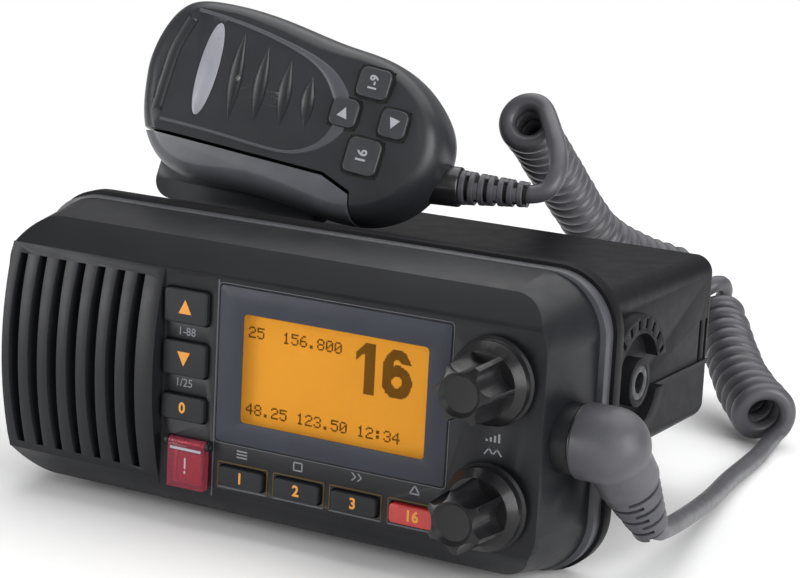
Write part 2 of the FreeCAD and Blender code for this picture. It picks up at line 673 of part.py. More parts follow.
def distress_flap():
    """The clear cover hangs from its pin, open at the back over the red key."""
    centre_y = PANEL - S.pin_forward
    left = S.flap_x - S.flap_width / 2
    right = S.flap_x + S.flap_width / 2
    top = S.pin_z
    cover = box("flap_block", (left, right), (PANEL - S.flap_front, PANEL - S.flap_rear),
                (S.flap_low, top - S.flap_top_gap))
    barrel = cylinder("flap_barrel", "x", S.barrel_radius, S.flap_width, left, centre_y, S.pin_z)
    inside = box("flap_inside", (left + S.flap_wall, right - S.flap_wall),
                 (PANEL - S.flap_front + S.flap_wall, PANEL + PAST),
                 (S.flap_low + S.flap_wall, top - S.barrel_radius - S.flap_barrel_gap))
    bore = cylinder("flap_bore", "x", S.pin_radius + S.pin_gap, S.flap_width + PAST * 2,
                    left - PAST, centre_y, S.pin_z)
    node(cut("distress_flap", join("flap_body", cover, barrel), inside, bore))
    reach = S.flap_width / 2 + S.ear_gap + S.ear_thick
    node(cylinder("flap_pin", "x", S.pin_radius, reach * 2, S.flap_x - reach, centre_y, S.pin_z))


def knob(name):
    """A knob with six scooped flutes, a flared skirt and a dished face."""
    body = new_body(name)
    profile = sketch_on(body, "XY_Plane", f"{name}_profile")
    rear = -S.knob_gap
    face = rear - S.knob_length
    bore = S.shaft_radius + S.shaft_gap
    bore_end = rear - S.knob_bore_depth
    hollow_end = rear - S.knob_hollow_depth
    polygon(profile, [
        (ZERO, face + S.knob_dish), (S.knob_face - S.knob_face_rim, face + S.knob_dish),
        (S.knob_face, face), (S.knob_shoulder, face + S.knob_shoulder_drop),
        (S.knob_waist, rear - S.knob_skirt_thick - S.knob_waist_rise),
        (S.knob_skirt_front, rear - S.knob_skirt_thick),
        (S.knob_skirt_front, rear - S.knob_groove * 2), (S.knob_skirt, rear - S.knob_groove),
        (S.knob_skirt, rear), (S.knob_hollow, rear),
        (S.knob_hollow, hollow_end), (bore, hollow_end), (bore, bore_end), (ZERO, bore_end),
    ])
    turned = body.newObject("PartDesign::Revolution", f"{name}_turned")
    turned.Profile = profile
    turned.ReferenceAxis = (profile, ["V_Axis"])
    turned.Angle = 360
    flute = sketch_on(body, "XZ_Plane", f"{name}_flute", -(face - PAST))
    round_spot = Part.Circle(Vector(0, S.flute_reach.value, 0), Vector(0, 0, 1), S.flute_radius.value)
    circle = flute.addGeometry(round_spot)
    constrain(flute, "Radius", circle, size=S.flute_radius)
    constrain(flute, "PointOnObject", circle, MIDDLE, -2)
    constrain(flute, "DistanceY", *ORIGIN, circle, MIDDLE, size=S.flute_reach)
    scoop = pocket(body, flute, S.knob_length - S.knob_skirt_thick - S.knob_waist_rise + PAST)
    pattern = body.newObject("PartDesign::PolarPattern", f"{name}_flutes")
    pattern.Originals = [scoop]
    pattern.Axis = (profile, ["V_Axis"])
    pattern.Angle = 360
    pattern.setExpression("Occurrences", S.flute_count.text)
    body.Tip = pattern
    return body


def knobs():
    """Each knob sits on its shaft, which turns in its control behind the panel."""
    shaft_front = PANEL - S.knob_gap - S.knob_bore_depth
    shaft_rear = PANEL + S.board_front - S.shaft_end_gap
    half = S.pot_side / 2
    bore = S.shaft_radius + S.shaft_gap
    nuts = []
    for name, z, turn in (("volume", S.volume_z, ZERO), ("squelch", S.squelch_z, S.squelch_turn)):
        grip = knob(f"{name}_knob")
        grip.Placement = Placement(Vector(), Rotation(Vector(0, 1, 0), turn.value))
        node(move(grip, S.knob_x, PANEL, z))
        node(cylinder(f"{name}_shaft", "y", S.shaft_radius, shaft_rear - shaft_front,
                      S.knob_x, shaft_front, z))
        housing = box(f"{name}_pot_housing", (S.knob_x - half, S.knob_x + half),
                      (PANEL + S.pot_front, PANEL + S.board_front), (z - half, z + half))
        bush = cylinder(f"{name}_pot_bush", "y", S.bush_radius, S.bush_proud + S.pot_front + PAST,
                        S.knob_x, PANEL - S.bush_proud, z)
        hole = cylinder(f"{name}_pot_bore", "y", bore, S.board_front * 2,
                        S.knob_x, PANEL - S.board_front + PAST, z)
        node(cut(f"{name}_pot", join(f"{name}_pot_blank", housing, bush), hole))
        hexagon = doc.addObject("Part::Prism", f"{name}_nut_blank")
        hexagon.Polygon = 6
        hexagon.setExpression("Circumradius", S.nut_radius.text)
        hexagon.setExpression("Height", S.nut_thick.text)
        hexagon.Placement = Placement(Vector(), TURN_TO["y"])
        move(hexagon, S.knob_x, PANEL - S.nut_thick, z)
        thread = cylinder(f"{name}_nut_bore", "y", S.bush_radius + S.shaft_gap, S.nut_thick + PAST * 2,
                          S.knob_x, PANEL - S.nut_thick - PAST, z)
        nuts.append(cut(f"{name}_nut", hexagon, thread))
    node(group("pot_nuts", *nuts))


def speaker():
    """The cloth, the basket with its cone, and the magnet."""
    z = S.panel_mid
    wall = PANEL + S.case_wall
    half_width = S.case_front_width / 2 - S.case_side_wall - S.cavity_side_gap - S.cloth_margin
    half_height = S.cavity_front_height / 2 - S.cloth_margin
    right = S.board_left - S.cloth_board_gap
    node(upright("grille_cloth", half_width + right, half_height * 2, S.cavity_corner, S.cloth_thick,
                 (right - half_width) / 2, wall, z))
    front = wall + S.cloth_thick
    ring_rear = front + S.ring_thick
    basket_rear = ring_rear + S.basket_depth
    opening = S.speaker_radius - S.speaker_ring
    x = S.speaker_x
    ring = cylinder("basket_ring", "y", S.speaker_radius, S.ring_thick, x, front, z)
    outer = cone("basket_outer", "y", opening + S.basket_wall, S.basket_radius + S.basket_wall,
                 S.basket_depth, x, ring_rear, z)
    mouth = cylinder("basket_mouth", "y", opening, S.ring_thick + PAST, x, front - PAST, z)
    inner = cone("basket_inner", "y", opening, S.basket_radius, S.basket_depth - S.basket_wall,
                 x, ring_rear, z)
    node(cut("speaker_frame", join("basket_blank", ring, outer), mouth, inner))
    rim = cylinder("paper_rim", "y", opening, S.paper_thick, x, front, z)
    paper_outer = cone("paper_outer", "y", opening - S.paper_edge, S.paper_neck, S.paper_depth,
                       x, front, z)
    paper_inner = cone("paper_inner", "y", opening - S.paper_edge - S.paper_thick,
                       S.paper_neck - S.paper_thick,
                       S.paper_depth - S.paper_thick, x, front, z)
    node(cut("speaker_cone", join("paper_blank", rim, paper_outer), paper_inner))
    node(cylinder("speaker_magnet", "y", S.magnet_radius, S.magnet_thick, x, basket_rear, z))


def mic_socket():
    """The round socket in the case's right side that the cord's plug enters."""
    length = S.socket_right - S.socket_left
    y = PANEL + S.socket_y
    tube = cylinder("socket_tube", "x", S.socket_radius, length, S.socket_left, y, S.socket_z)
    bore = cylinder("socket_bore_cut", "x", S.socket_bore, S.socket_bore_depth + PAST,
                    S.socket_right - S.socket_bore_depth, y, S.socket_z)
    node(cut("mic_socket", tube, bore))


# ---------------------------------------------------------------- chassis


def gasket_and_holes():
    width = S.flange_width - S.gasket_inset * 2
    height = S.flange_height - S.gasket_inset * 2
    z = S.flange_height / 2
    ring = upright("gasket_blank", width, height, S.flange_corner - S.gasket_inset, S.gasket_thick,
                   ZERO, CASE_REAR, z)
    window = upright("gasket_window", width - S.gasket_side * 2, height - S.gasket_rim * 2,
                     S.cavity_corner, S.gasket_thick + PAST * 2, ZERO, CASE_REAR - PAST, z)
    holes = []
    for index, (x, hole_z) in enumerate(CASE_SCREW_PLACES, 1):
        holes.append(cylinder(f"gasket_hole_{index}", "y", CLEAR_HOLE, S.gasket_thick + PAST * 2,
                              x, CASE_REAR - PAST, hole_z))
    node(cut("bezel_gasket", ring, window, *holes))


def bracket_ring(side, sign):
    """The toothed ring and the hub that a mounting bracket clamps, on one side."""
    body = new_body(f"{side}_ring")
    outline = sketch_on(body, "XY_Plane", f"{side}_ring_outline")
    for radius in (S.ring_outer, S.ring_inner):
        circle = outline.addGeometry(Part.Circle(Vector(), Vector(0, 0, 1), radius.value))
        constrain(outline, "Coincident", circle, MIDDLE, *ORIGIN)
        constrain(outline, "Radius", circle, size=radius)
    pad(body, outline, S.ring_rise + PAST, backwards=False)
    notch = sketch_on(body, "XY_Plane", f"{side}_notch", S.ring_rise + PAST - S.notch_depth)
    middle = (S.ring_outer + S.ring_inner) / 2
    inner = middle - S.notch_length / 2
    outer = middle + S.notch_length / 2
    side_up = S.notch_width / 2
    polygon(notch, [(inner, -side_up), (outer, -side_up), (outer, side_up), (inner, side_up)])
    tooth = pocket(body, notch, S.notch_depth + PAST, backwards=False)
    tooth.Reversed = True
    pattern = body.newObject("PartDesign::PolarPattern", f"{side}_notches")
    pattern.Originals = [tooth]
    pattern.Axis = (outline, ["N_Axis"])
    pattern.Angle = 180
    pattern.setExpression("Occurrences", S.notch_count.text)
    body.Tip = pattern
    start = Rotation(Vector(0, 0, 1), S.notch_start.value * sign)
    turn = Rotation(Vector(0, 0, 1), 90 * sign) * Rotation(Vector(1, 0, 0), 90) * start
    body.Placement = Placement(Vector(), turn)
    x = (S.body_width / 2 - PAST) * sign
    move(body, x, PANEL + S.ring_y, S.ring_z)
    wall = S.body_width / 2
    channel = box(f"{side}_channel", side_span(sign, wall, wall + S.ring_rise + PAST),
                  (PANEL + S.ring_y, PANEL + S.ring_y + S.ring_outer + PAST),
                  (S.channel_low, S.channel_high))
    return cut(f"{side}_open_ring", body, channel)


def side_span(sign, near, far):
    """Two distances from the middle, as the low and the high X on one side."""
    return (near, far) if sign > 0 else (-far, -near)


def hub(side, sign, name, radius, reach):
    """A round boss or bore along X through the side wall."""
    outer = S.body_width / 2 + S.hub_rise
    low = outer - reach if sign > 0 else -outer
    return cylinder(f"{side}_{name}", "x", radius, reach, low, PANEL + S.ring_y, S.ring_z)


def rear_chassis():
    """The cast chassis: flange, hollow body, cooling ribs below and a bracket ring each side."""
    mid_z = S.flange_height / 2
    body_height = S.body_top - S.body_bottom
    body_z = (S.body_top + S.body_bottom) / 2
    flange = upright("flange", S.flange_width, S.flange_height, S.flange_corner, S.flange_thick,
                     ZERO, GASKET_REAR, mid_z)
    block = new_body("chassis_block")
    outline = sketch_on(block, "XZ_Plane", "chassis_outline")
    round_rectangle(outline, S.body_width, body_height, S.body_corner)
    depth = BODY_REAR - FLANGE_REAR + PAST
    step = pad(block, outline, depth)
    block.Tip = round_front(block, step, depth.value, S.body_edge)
    move(block, ZERO, FLANGE_REAR - PAST, body_z)
    solids = [flange, block]
    rib_pitch = S.rib_span / (round(S.rib_count.value) - 1)
    for index in range(round(S.rib_count.value)):
        left = rib_pitch * index - S.rib_span / 2 - S.rib_thick / 2
        solids.append(box(f"rib_{index + 1}", (left, left + S.rib_thick),
                          (FLANGE_REAR - PAST, PANEL + S.rib_rear), (ZERO, S.body_bottom + PAST)))
    hub_length = S.hub_rise + S.body_wall + S.hub_reach
    wall = S.body_width / 2
    for side, sign in (("right", 1), ("left", -1)):
        solids.append(bracket_ring(side, sign))
        solids.append(box(f"{side}_ledge", side_span(sign, wall - PAST, wall + S.ledge_rise),
                          (PANEL + S.ring_y + S.hub_radius, BODY_REAR - S.body_edge),
                          (S.channel_low - S.ledge_height, S.channel_low)))
    hollow = upright("chassis_hollow", S.body_width - S.body_wall * 2, body_height - S.body_wall * 2,
                     S.hollow_corner, BODY_REAR - S.body_wall - GASKET_REAR + PAST,
                     ZERO, GASKET_REAR - PAST, body_z)
    shell = cut("chassis_shell", join("chassis_solid", *solids), hollow)
    extras = [shell]
    for side, sign in (("right", 1), ("left", -1)):
        extras.append(hub(side, sign, "hub", S.hub_radius, hub_length))
    floor = S.body_bottom + S.body_wall
    for index, (x, y) in enumerate(MAIN_POSTS, 1):
        extras.append(cylinder(f"main_post_{index}", "z", S.main_post, S.main_z - floor + PAST,
                               x, y, floor - PAST))
    tools = []
    for side, sign in (("right", 1), ("left", -1)):
        tools.append(hub(side, sign, "insert_seat", S.insert_radius, S.insert_length))
        for index in range(2):
            near = BODY_REAR - S.side_groove_inset + S.side_groove_pitch * index
            tools.append(box(f"{side}_groove_{index + 1}",
                             side_span(sign, wall - S.side_groove_depth, wall + PAST),
                             (near, near + S.side_groove_width),
                             (S.channel_low, S.side_groove_high)))
    for index, (x, z) in enumerate(CASE_SCREW_PLACES, 1):
        tools.append(cylinder(f"flange_hole_{index}", "y", CLEAR_HOLE, S.flange_thick + PAST * 2,
                              x, GASKET_REAR - PAST, z))
        tools.append(cylinder(f"head_pocket_{index}", "y", S.screw_head + S.screw_gap,
                              S.screw_head_thick + PAST, x, FLANGE_REAR, z))
    for index, (x, y) in enumerate(MAIN_POSTS, 1):
        tools.append(cylinder(f"main_bore_{index}", "z", THREAD, S.main_z - floor + PAST, x, y, floor))
    for name, x, z, radius in (
        ("antenna", S.antenna_x, S.antenna_z, S.antenna_inner),
        ("power", S.power_x, S.power_z, S.power_radius),
        ("accessory", S.accessory_x, S.accessory_z, S.accessory_radius),
    ):
        tools.append(cylinder(f"{name}_opening", "y", radius + S.gland_gap, S.body_wall + PAST * 2,
                              x, BODY_REAR - S.body_wall - PAST, z))
    node(cut("rear_chassis", join("chassis_with_posts", *extras), *tools))


def bracket_inserts():
    inserts = []
    for side, sign in (("right", 1), ("left", -1)):
        sleeve = hub(side, sign, "insert_sleeve", S.insert_radius, S.insert_length)
        thread = hub(side, sign, "insert_thread", S.insert_bore, S.insert_length)
        inserts.append(cut(f"{side}_insert", sleeve, thread))
    node(group("bracket_inserts", *inserts))


MAIN_X = S.main_width / 2 - S.main_post_inset
MAIN_NEAR = PANEL + S.main_front + S.main_post_inset
MAIN_FAR = PANEL + S.main_rear - S.main_post_inset
MAIN_POSTS = [(MAIN_X, MAIN_NEAR), (-MAIN_X, MAIN_NEAR), (MAIN_X, MAIN_FAR), (-MAIN_X, MAIN_FAR)]


def electronics():
    """The main board on its posts and the shielded radio module on it."""
    top = S.main_z + S.board_thick
    half = S.main_width / 2
    board = box("main_board_blank", (-half, half), (PANEL + S.main_front, PANEL + S.main_rear),
                (S.main_z, top))
    holes = []
    screws = []
    for index, (x, y) in enumerate(MAIN_POSTS, 1):
        holes.append(cylinder(f"main_hole_{index}", "z", CLEAR_HOLE, S.board_thick + PAST * 2,
                              x, y, S.main_z - PAST))
        screws.append(screw(f"main_screw_{index}", "z", x, y, top, S.screw_length))
    node(cut("main_board", board, *holes))
    half_width = S.module_width / 2
    rear = PANEL + S.main_rear - S.module_rear_gap
    node(box("rf_module", (S.module_x - half_width, S.module_x + half_width),
             (rear - S.module_length, rear), (top, top + S.module_height)))
    return screws


def case_screws():
    """The screws that pull the front case and its gasket onto the flange."""
    length = S.flange_thick + S.gasket_thick + S.screw_length - S.screw_tip_gap
    screws = [screw(f"case_screw_{index}", "y", x, FLANGE_REAR, z, length)
              for index, (x, z) in enumerate(CASE_SCREW_PLACES, 1)]
    node(group("case_screws", *screws))


def rear_connectors():
    """The coaxial antenna socket, and two rubber glands for the leads."""
    x, z = S.antenna_x, S.antenna_z
    flange = cylinder("antenna_flange_disc", "y", S.antenna_flange, S.antenna_flange_thick,
                      x, BODY_REAR, z)
    barrel_length = S.antenna_end - S.body_rear
    barrel = cylinder("antenna_barrel", "y", S.antenna_radius, barrel_length, x, BODY_REAR, z)
    inner = cylinder("antenna_tail", "y", S.antenna_inner, S.body_wall + S.antenna_reach + PAST,
                     x, BODY_REAR - S.body_wall - S.antenna_reach, z)
    bore_start = PANEL + S.antenna_end - S.antenna_bore_depth
    mouth = cylinder("antenna_mouth", "y", S.antenna_bore, S.antenna_bore_depth + PAST, x, bore_start, z)
    contact = cylinder("antenna_contact", "y", S.antenna_pin,
                       S.antenna_bore_depth - S.antenna_pin_recess, x, bore_start - PAST, z)
    socket = cut("antenna_shell", join("antenna_blank", flange, barrel, inner), mouth)
    node(join("antenna_connector", socket, contact))
    for name, x, z, radius in (
        ("power", S.power_x, S.power_z, S.power_radius),
        ("accessory", S.accessory_x, S.accessory_z, S.accessory_radius),
    ):
        body = cylinder(f"{name}_sleeve", "y", radius, S.body_wall + PAST * 2,
                        x, BODY_REAR - S.body_wall - PAST, z)
        disc = cylinder(f"{name}_disc", "y", radius + S.gland_flange, S.gland_flange_thick,
                        x, BODY_REAR, z)
        nose = cone(f"{name}_nose", "y", radius, radius - S.gland_taper, S.gland_nose, x, BODY_REAR, z)
        bore = cylinder(f"{name}_cord_bore", "y", radius * S.gland_cord_share, S.gland_nose * 2 + PAST,
                        x, BODY_REAR - S.gland_nose, z)
        node(cut(f"{name}_gland", join(f"{name}_gland_blank", body, disc, nose), bore))


# ---------------------------------------------------------------- microphone

MIC_FRAME = Placement(
    Vector(S.mic_x.value, (PANEL + S.mic_y).value, (S.body_top + S.mic_rise).value),
    Rotation(Vector(0, 0, 1), S.mic_yaw.value)
    * Rotation(Vector(1, 0, 0), -S.mic_lean.value)
    * Rotation(Vector(0, 1, 0), S.mic_roll.value),
)


def on_mic(item, x, z):
    """Puts a piece at a place on the microphone's face, in its own frame."""
    spot = Placement(Vector(x, 0, z), Rotation())
    item.Placement = MIC_FRAME.multiply(spot).multiply(item.Placement)
    return item


def mic_section(depth, inset):
    """The microphone's outline at one depth, drawn in towards its middle."""
    points = []
    middle_x, middle_z = MIC_MIDDLE
    for x, z in MIC_OUTLINE:
        arm_x = x - middle_x
        arm_z = z - middle_z
        share = 1 - inset / math.hypot(arm_x, arm_z)
        points.append(Vector(middle_x + arm_x * share, depth, middle_z + arm_z * share))
    curve = Part.BSplineCurve()
    curve.interpolate(points, PeriodicFlag=True)
    return Part.Wire([curve.toShape()])


def mic_loft(sections):
    return Part.makeLoft([mic_section(*section) for section in sections], True, False)


def local_cylinder(radius, start, end, x, z):
    return Part.makeCylinder(radius, end - start, Vector(x, start, z), Vector(0, 1, 0))


def ptt_prism(front, back, rise, spread):
    """The block that the push-to-talk bar fills, or with some room around it."""
    top = S.ptt_top.value
    points = [Vector(x + spread, front, top + z + rise) for x, z in PTT_OUTLINE]
    face = Part.Face(Part.makePolygon(points + points[:1]))
    return face.extrude(Vector(0, back - front, 0))


def cable_bore(extra):
    """The hole at the microphone's end that the collar fills."""
    start, aim = cable_exit(0)
    return Part.makeCylinder(S.collar_radius.value + extra, S.collar_length.value * 2, start, aim)


def cable_exit(distance):
    """A point on the cable's axis, in the microphone's frame, and the way it points."""
    angle = math.radians(S.cable_rise.value)
    aim = Vector(math.cos(angle), 0, math.sin(angle))
    start = Vector(S.collar_x.value, S.collar_depth.value, S.collar_z.value)
    return start + aim * distance, aim


MIC_POSTS = [
    (S.mic_post_left.value, S.mic_post_high.value), (S.mic_post_left.value, S.mic_post_low.value),
    (S.mic_post_right.value, S.mic_post_high.value), (S.mic_post_right.value, S.mic_post_low.value),
]
BOARD_FRONT = S.mic_board_front.value
BOARD_REAR = BOARD_FRONT + S.mic_board_thick.value


def mic_key_hole(x, z, width, height, room, front, back):
    half_w = width / 2 + room
    half_h = height / 2 + room
    return Part.makeBox(half_w * 2, back - front, half_h * 2, Vector(x - half_w, front, z - half_h))


def mic_ptt_room():
    gap = S.ptt_gap.value
    return ptt_prism(-PAST - gap, S.ptt_depth.value + gap, S.ptt_travel.value + gap, gap)


def mic_front_shell():
    """The face shell, with its key holes and the posts that carry the board."""
    solid = mic_loft(MIC_FRONT_SECTIONS)
    hollow = mic_loft(MIC_FRONT_HOLLOW)
    shell = solid.cut(hollow)
    for x, z in MIC_POSTS:
        root = (S.mic_wall - S.post_root).value
        shell = shell.fuse(local_cylinder(S.mic_post.value, root, BOARD_FRONT, x, z))
    for x, z in MIC_POSTS:
        shell = shell.cut(local_cylinder(S.mic_post_bore.value, S.mic_wall.value,
                                         BOARD_FRONT + PAST, x, z))
    for _, x, z, width, height in MIC_KEYS:
        shell = shell.cut(mic_key_hole(x, z, width, height, S.mic_key_gap.value, -PAST, BOARD_FRONT))
        room = S.mic_key_lip.value + S.mic_key_gap.value
        shell = shell.cut(mic_key_hole(x, z, width, height, room, S.mic_wall.value, BOARD_FRONT))
    shell = shell.cut(local_cylinder(S.sound_hole.value, -PAST, S.mic_wall.value + PAST,
                                     S.capsule_x.value, S.capsule_z.value))
    shell = shell.cut(label_solid(-PAST, S.label_recess.value, S.seat_gap.value))
    shell = shell.cut(mic_ptt_room())
    shell = shell.cut(cable_bore(S.socket_gap.value))
    node(feature("mic_front_shell", shell.removeSplitter(), MIC_FRAME))


def label_solid(front, back, room):
    """An upright oval plate, or the recess that it lies in."""
    middle = Vector(S.label_x.value, front, S.label_z.value)
    tall = S.label_half_height.value + room
    wide = S.label_half_width.value + room
    oval = Part.Ellipse(middle + Vector(0, 0, tall), middle + Vector(wide, 0, 0), middle)
    face = Part.Face(Part.Wire([oval.toShape()]))
    return face.extrude(Vector(0, back - front, 0))


def grip():
    """The grip behind the push-to-talk bar, cut level where it stands on the chassis."""
    g = GRIP_BOX
    block = Part.makeBox(g["right"] - g["left"], g["back"] - g["front"], g["high"] - g["low"],
                         Vector(g["left"], g["front"], g["low"]))
    corner = [edge for edge in block.Edges
              if edge.BoundBox.ZMax < g["low"] + SAME_PLACE and edge.BoundBox.XMax < g["left"] + SAME_PLACE]
    block = block.makeFillet(GRIP_CORNER, corner)
    level = S.body_top.value + S.mic_foot_gap.value
    span = S.body_width.value
    below = Part.makeBox(span * 2, span * 2, level, Vector(-span, -span, 0))
    below.Placement = MIC_FRAME.inverse()
    return block.cut(below)


def mic_rear_shell():
    """The back shell, with its screw towers, the grip and the hole for the cable."""
    solid = mic_loft(MIC_REAR_SECTIONS)
    hollow = mic_loft(MIC_REAR_HOLLOW)
    shell = solid.cut(hollow).fuse(grip())
    back = S.mic_back.value
    tower_end = back - S.mic_tower_inset.value
    for x, z in MIC_POSTS:
        shell = shell.fuse(local_cylinder(S.mic_tower.value, BOARD_REAR, tower_end, x, z))
    for x, z in MIC_POSTS:
        bore = S.mic_screw_radius.value + S.screw_gap.value
        shell = shell.cut(local_cylinder(bore, BOARD_REAR - PAST, back + PAST, x, z))
        head = S.mic_screw_head.value + S.screw_gap.value
        shell = shell.cut(local_cylinder(head, S.mic_screw_rise.value, back + PAST, x, z))
    shell = shell.cut(mic_ptt_room())
    shell = shell.cut(cable_bore(S.socket_gap.value))
    node(feature("mic_rear_shell", shell.removeSplitter(), MIC_FRAME))


def ptt_button():
    """The push-to-talk bar along the lower edge; it slides up into the shells."""
    outer = mic_loft(MIC_FRONT_SECTIONS).fuse(mic_loft(MIC_REAR_SECTIONS))
    bar = outer.common(ptt_prism(-PAST, S.ptt_depth.value, 0, 0))
    node(feature("ptt_button", bar.removeSplitter(), MIC_FRAME))


def mic_inside():
    """The board on the posts, the capsule, the switch and the screws."""
    board = Part.makeBox(
        (S.mic_board_right - S.mic_board_left).value, S.mic_board_thick.value,
        (S.mic_board_high - S.mic_board_low).value,
        Vector(S.mic_board_left.value, BOARD_FRONT, S.mic_board_low.value))
    for x, z in MIC_POSTS:
        hole = S.mic_screw_radius.value + S.screw_gap.value
        board = board.cut(local_cylinder(hole, BOARD_FRONT - PAST, BOARD_REAR + PAST, x, z))
    node(feature("mic_board", board, MIC_FRAME))
    capsule = local_cylinder(S.capsule_radius.value, S.mic_wall.value, BOARD_FRONT,
                             S.capsule_x.value, S.capsule_z.value)
    node(feature("mic_capsule", capsule, MIC_FRAME))
    switch = box("ptt_switch", (S.switch_x - S.switch_width / 2, S.switch_x + S.switch_width / 2),
                 (ZERO, S.switch_depth), (S.mic_board_low, S.mic_board_low + S.switch_height))
    doc.recompute()
    place = switch.Placement
    for axis in "xyz":
        switch.setExpression(f"Placement.Base.{axis}", None)
    switch.Placement = MIC_FRAME.multiply(Placement(place.Base + Vector(0, BOARD_REAR, 0), Rotation()))
    node(switch)
    start = S.mic_screw_rise.value
    screws = []
    for x, z in MIC_POSTS:
        shank = local_cylinder(S.mic_screw_radius.value,
                               (S.mic_wall + S.screw_tip_gap).value, start, x, z)
        head = local_cylinder(S.mic_screw_head.value, start, start + S.mic_screw_head_thick.value, x, z)
        screws.append(shank.fuse(head))
    node(feature("mic_screws", Part.makeCompound(screws), MIC_FRAME))


def mic_outside():
    """The label plate, the keys and the stud that hangs the microphone on its clip."""
    thick = S.label_thick.value
    recess = S.label_recess.value
    node(feature("mic_label_plate", label_solid(recess - thick, recess, 0), MIC_FRAME))
    for name, x, z, width, height in MIC_KEYS:
        key = key_cap(name, as_dim(width), as_dim(height), S.mic_key_corner, S.mic_key_proud,
                      S.mic_wall, S.mic_key_lip, S.lip_gap)
        node(on_mic(key, x, z))
    back = S.mic_back.value
    neck = local_cylinder(S.stud_neck.value, back, back + S.stud_neck_length.value,
                          S.stud_x.value, S.stud_z.value)
    head_start = back + S.stud_neck_length.value
    head = local_cylinder(S.stud_head.value, head_start, head_start + S.stud_head_thick.value,
                          S.stud_x.value, S.stud_z.value)
    node(feature("mic_hanger_stud", neck.fuse(head), MIC_FRAME))


# ---------------------------------------------------------------- plug and cord


def mic_cable_end():
    """The collar in the microphone's end, and its strain relief."""
    start, aim = cable_exit(0)
    collar = Part.makeCylinder(S.collar_radius.value, S.collar_length.value, start, aim)
    node(feature("mic_collar", collar, MIC_FRAME))
    start, aim = cable_exit(S.collar_length.value)
    relief = Part.makeCone(S.mic_relief_start.value, S.mic_relief_end.value,
                           S.mic_relief_length.value, start, aim)
    node(feature("mic_relief", relief, MIC_FRAME))


SOCKET_AXIS = Vector(0, (PANEL + S.socket_y).value, S.socket_z.value)
ELBOW = SOCKET_AXIS + Vector(S.elbow_x.value, 0, 0)
LEG_AIM = Vector(*RELIEF_AIM).normalize()


def plug():
    """The moulded elbow plug: its nose in the socket, its leg aimed down and back."""
    along = Vector(1, 0, 0)
    ring_start = S.socket_right.value
    face = ring_start + S.plug_ring_thick.value
    nose = Part.makeCylinder(S.plug_nose_radius.value, face + S.plug_nose.value - ring_start + PAST,
                             SOCKET_AXIS + along * (ring_start - S.plug_nose.value), along)
    barrel = Part.makeCylinder(S.elbow_radius.value, S.elbow_x.value - face,
                               SOCKET_AXIS + along * face, along)
    dome = Part.makeSphere(S.elbow_radius.value, ELBOW)
    leg = Part.makeCylinder(S.leg_radius.value, S.leg_length.value, ELBOW, LEG_AIM)
    plug_body = barrel.fuse([dome, leg, nose]).removeSplitter()
    node(feature("plug_body", plug_body))
    ring = Part.makeCylinder(S.plug_ring_radius.value, S.plug_ring_thick.value,
                             SOCKET_AXIS + along * ring_start, along)
    hole = Part.makeCylinder(S.plug_nose_radius.value + S.socket_gap.value,
                             S.plug_ring_thick.value + PAST * 2,
                             SOCKET_AXIS + along * (ring_start - PAST), along)
    node(feature("plug_ring", ring.cut(hole)))
    relief = Part.makeCone(S.relief_start.value, S.relief_end.value, S.relief_length.value,
                           ELBOW + LEG_AIM * S.leg_length.value, LEG_AIM)
    node(feature("plug_relief", relief))


def from_panel(point):
    x, y, z = point
    return Vector(x, PANEL.value + y, z)


def tube(name, points, radius):
    """A tube along straight runs joined by tangent arcs, as wide as its runs allow."""
    edges = []
    bends = []
    last = points[0]
    for before, corner, after in zip(points, points[1:], points[2:]):
        first_run = corner - before
        next_run = after - corner
        half_turn = first_run.getAngle(next_run) / 2
        reach = SIDE_RUN_SHARE * min(first_run.Length, next_run.Length)
        bend = reach / math.tan(half_turn)
        bends.append(round(bend, 1))
        arc_start = corner - first_run.normalize() * reach
        arc_end = corner + next_run.normalize() * reach
        inward = (arc_start + arc_end) / 2 - corner
        middle_gap = bend / math.cos(half_turn) - bend
        arc_middle = corner + inward.normalize() * middle_gap
        edges.append(Part.LineSegment(last, arc_start).toShape())
        edges.append(Part.Arc(arc_start, arc_middle, arc_end).toShape())
        last = arc_end
    edges.append(Part.LineSegment(last, points[-1]).toShape())
    path = Part.Wire(edges)
    length = path.Length
    aim = (points[1] - points[0]).normalize()
    ring = Part.Wire([Part.Circle(points[0], aim, radius).toShape()])
    solid = path.makePipeShell([ring], True, True)
    expected = math.pi * radius ** 2 * length
    share = solid.Volume / expected
    print(f"{name}: length {length:.1f}, bend radii {bends}, volume/expected {share:.4f}")
    return node(feature(name, solid))


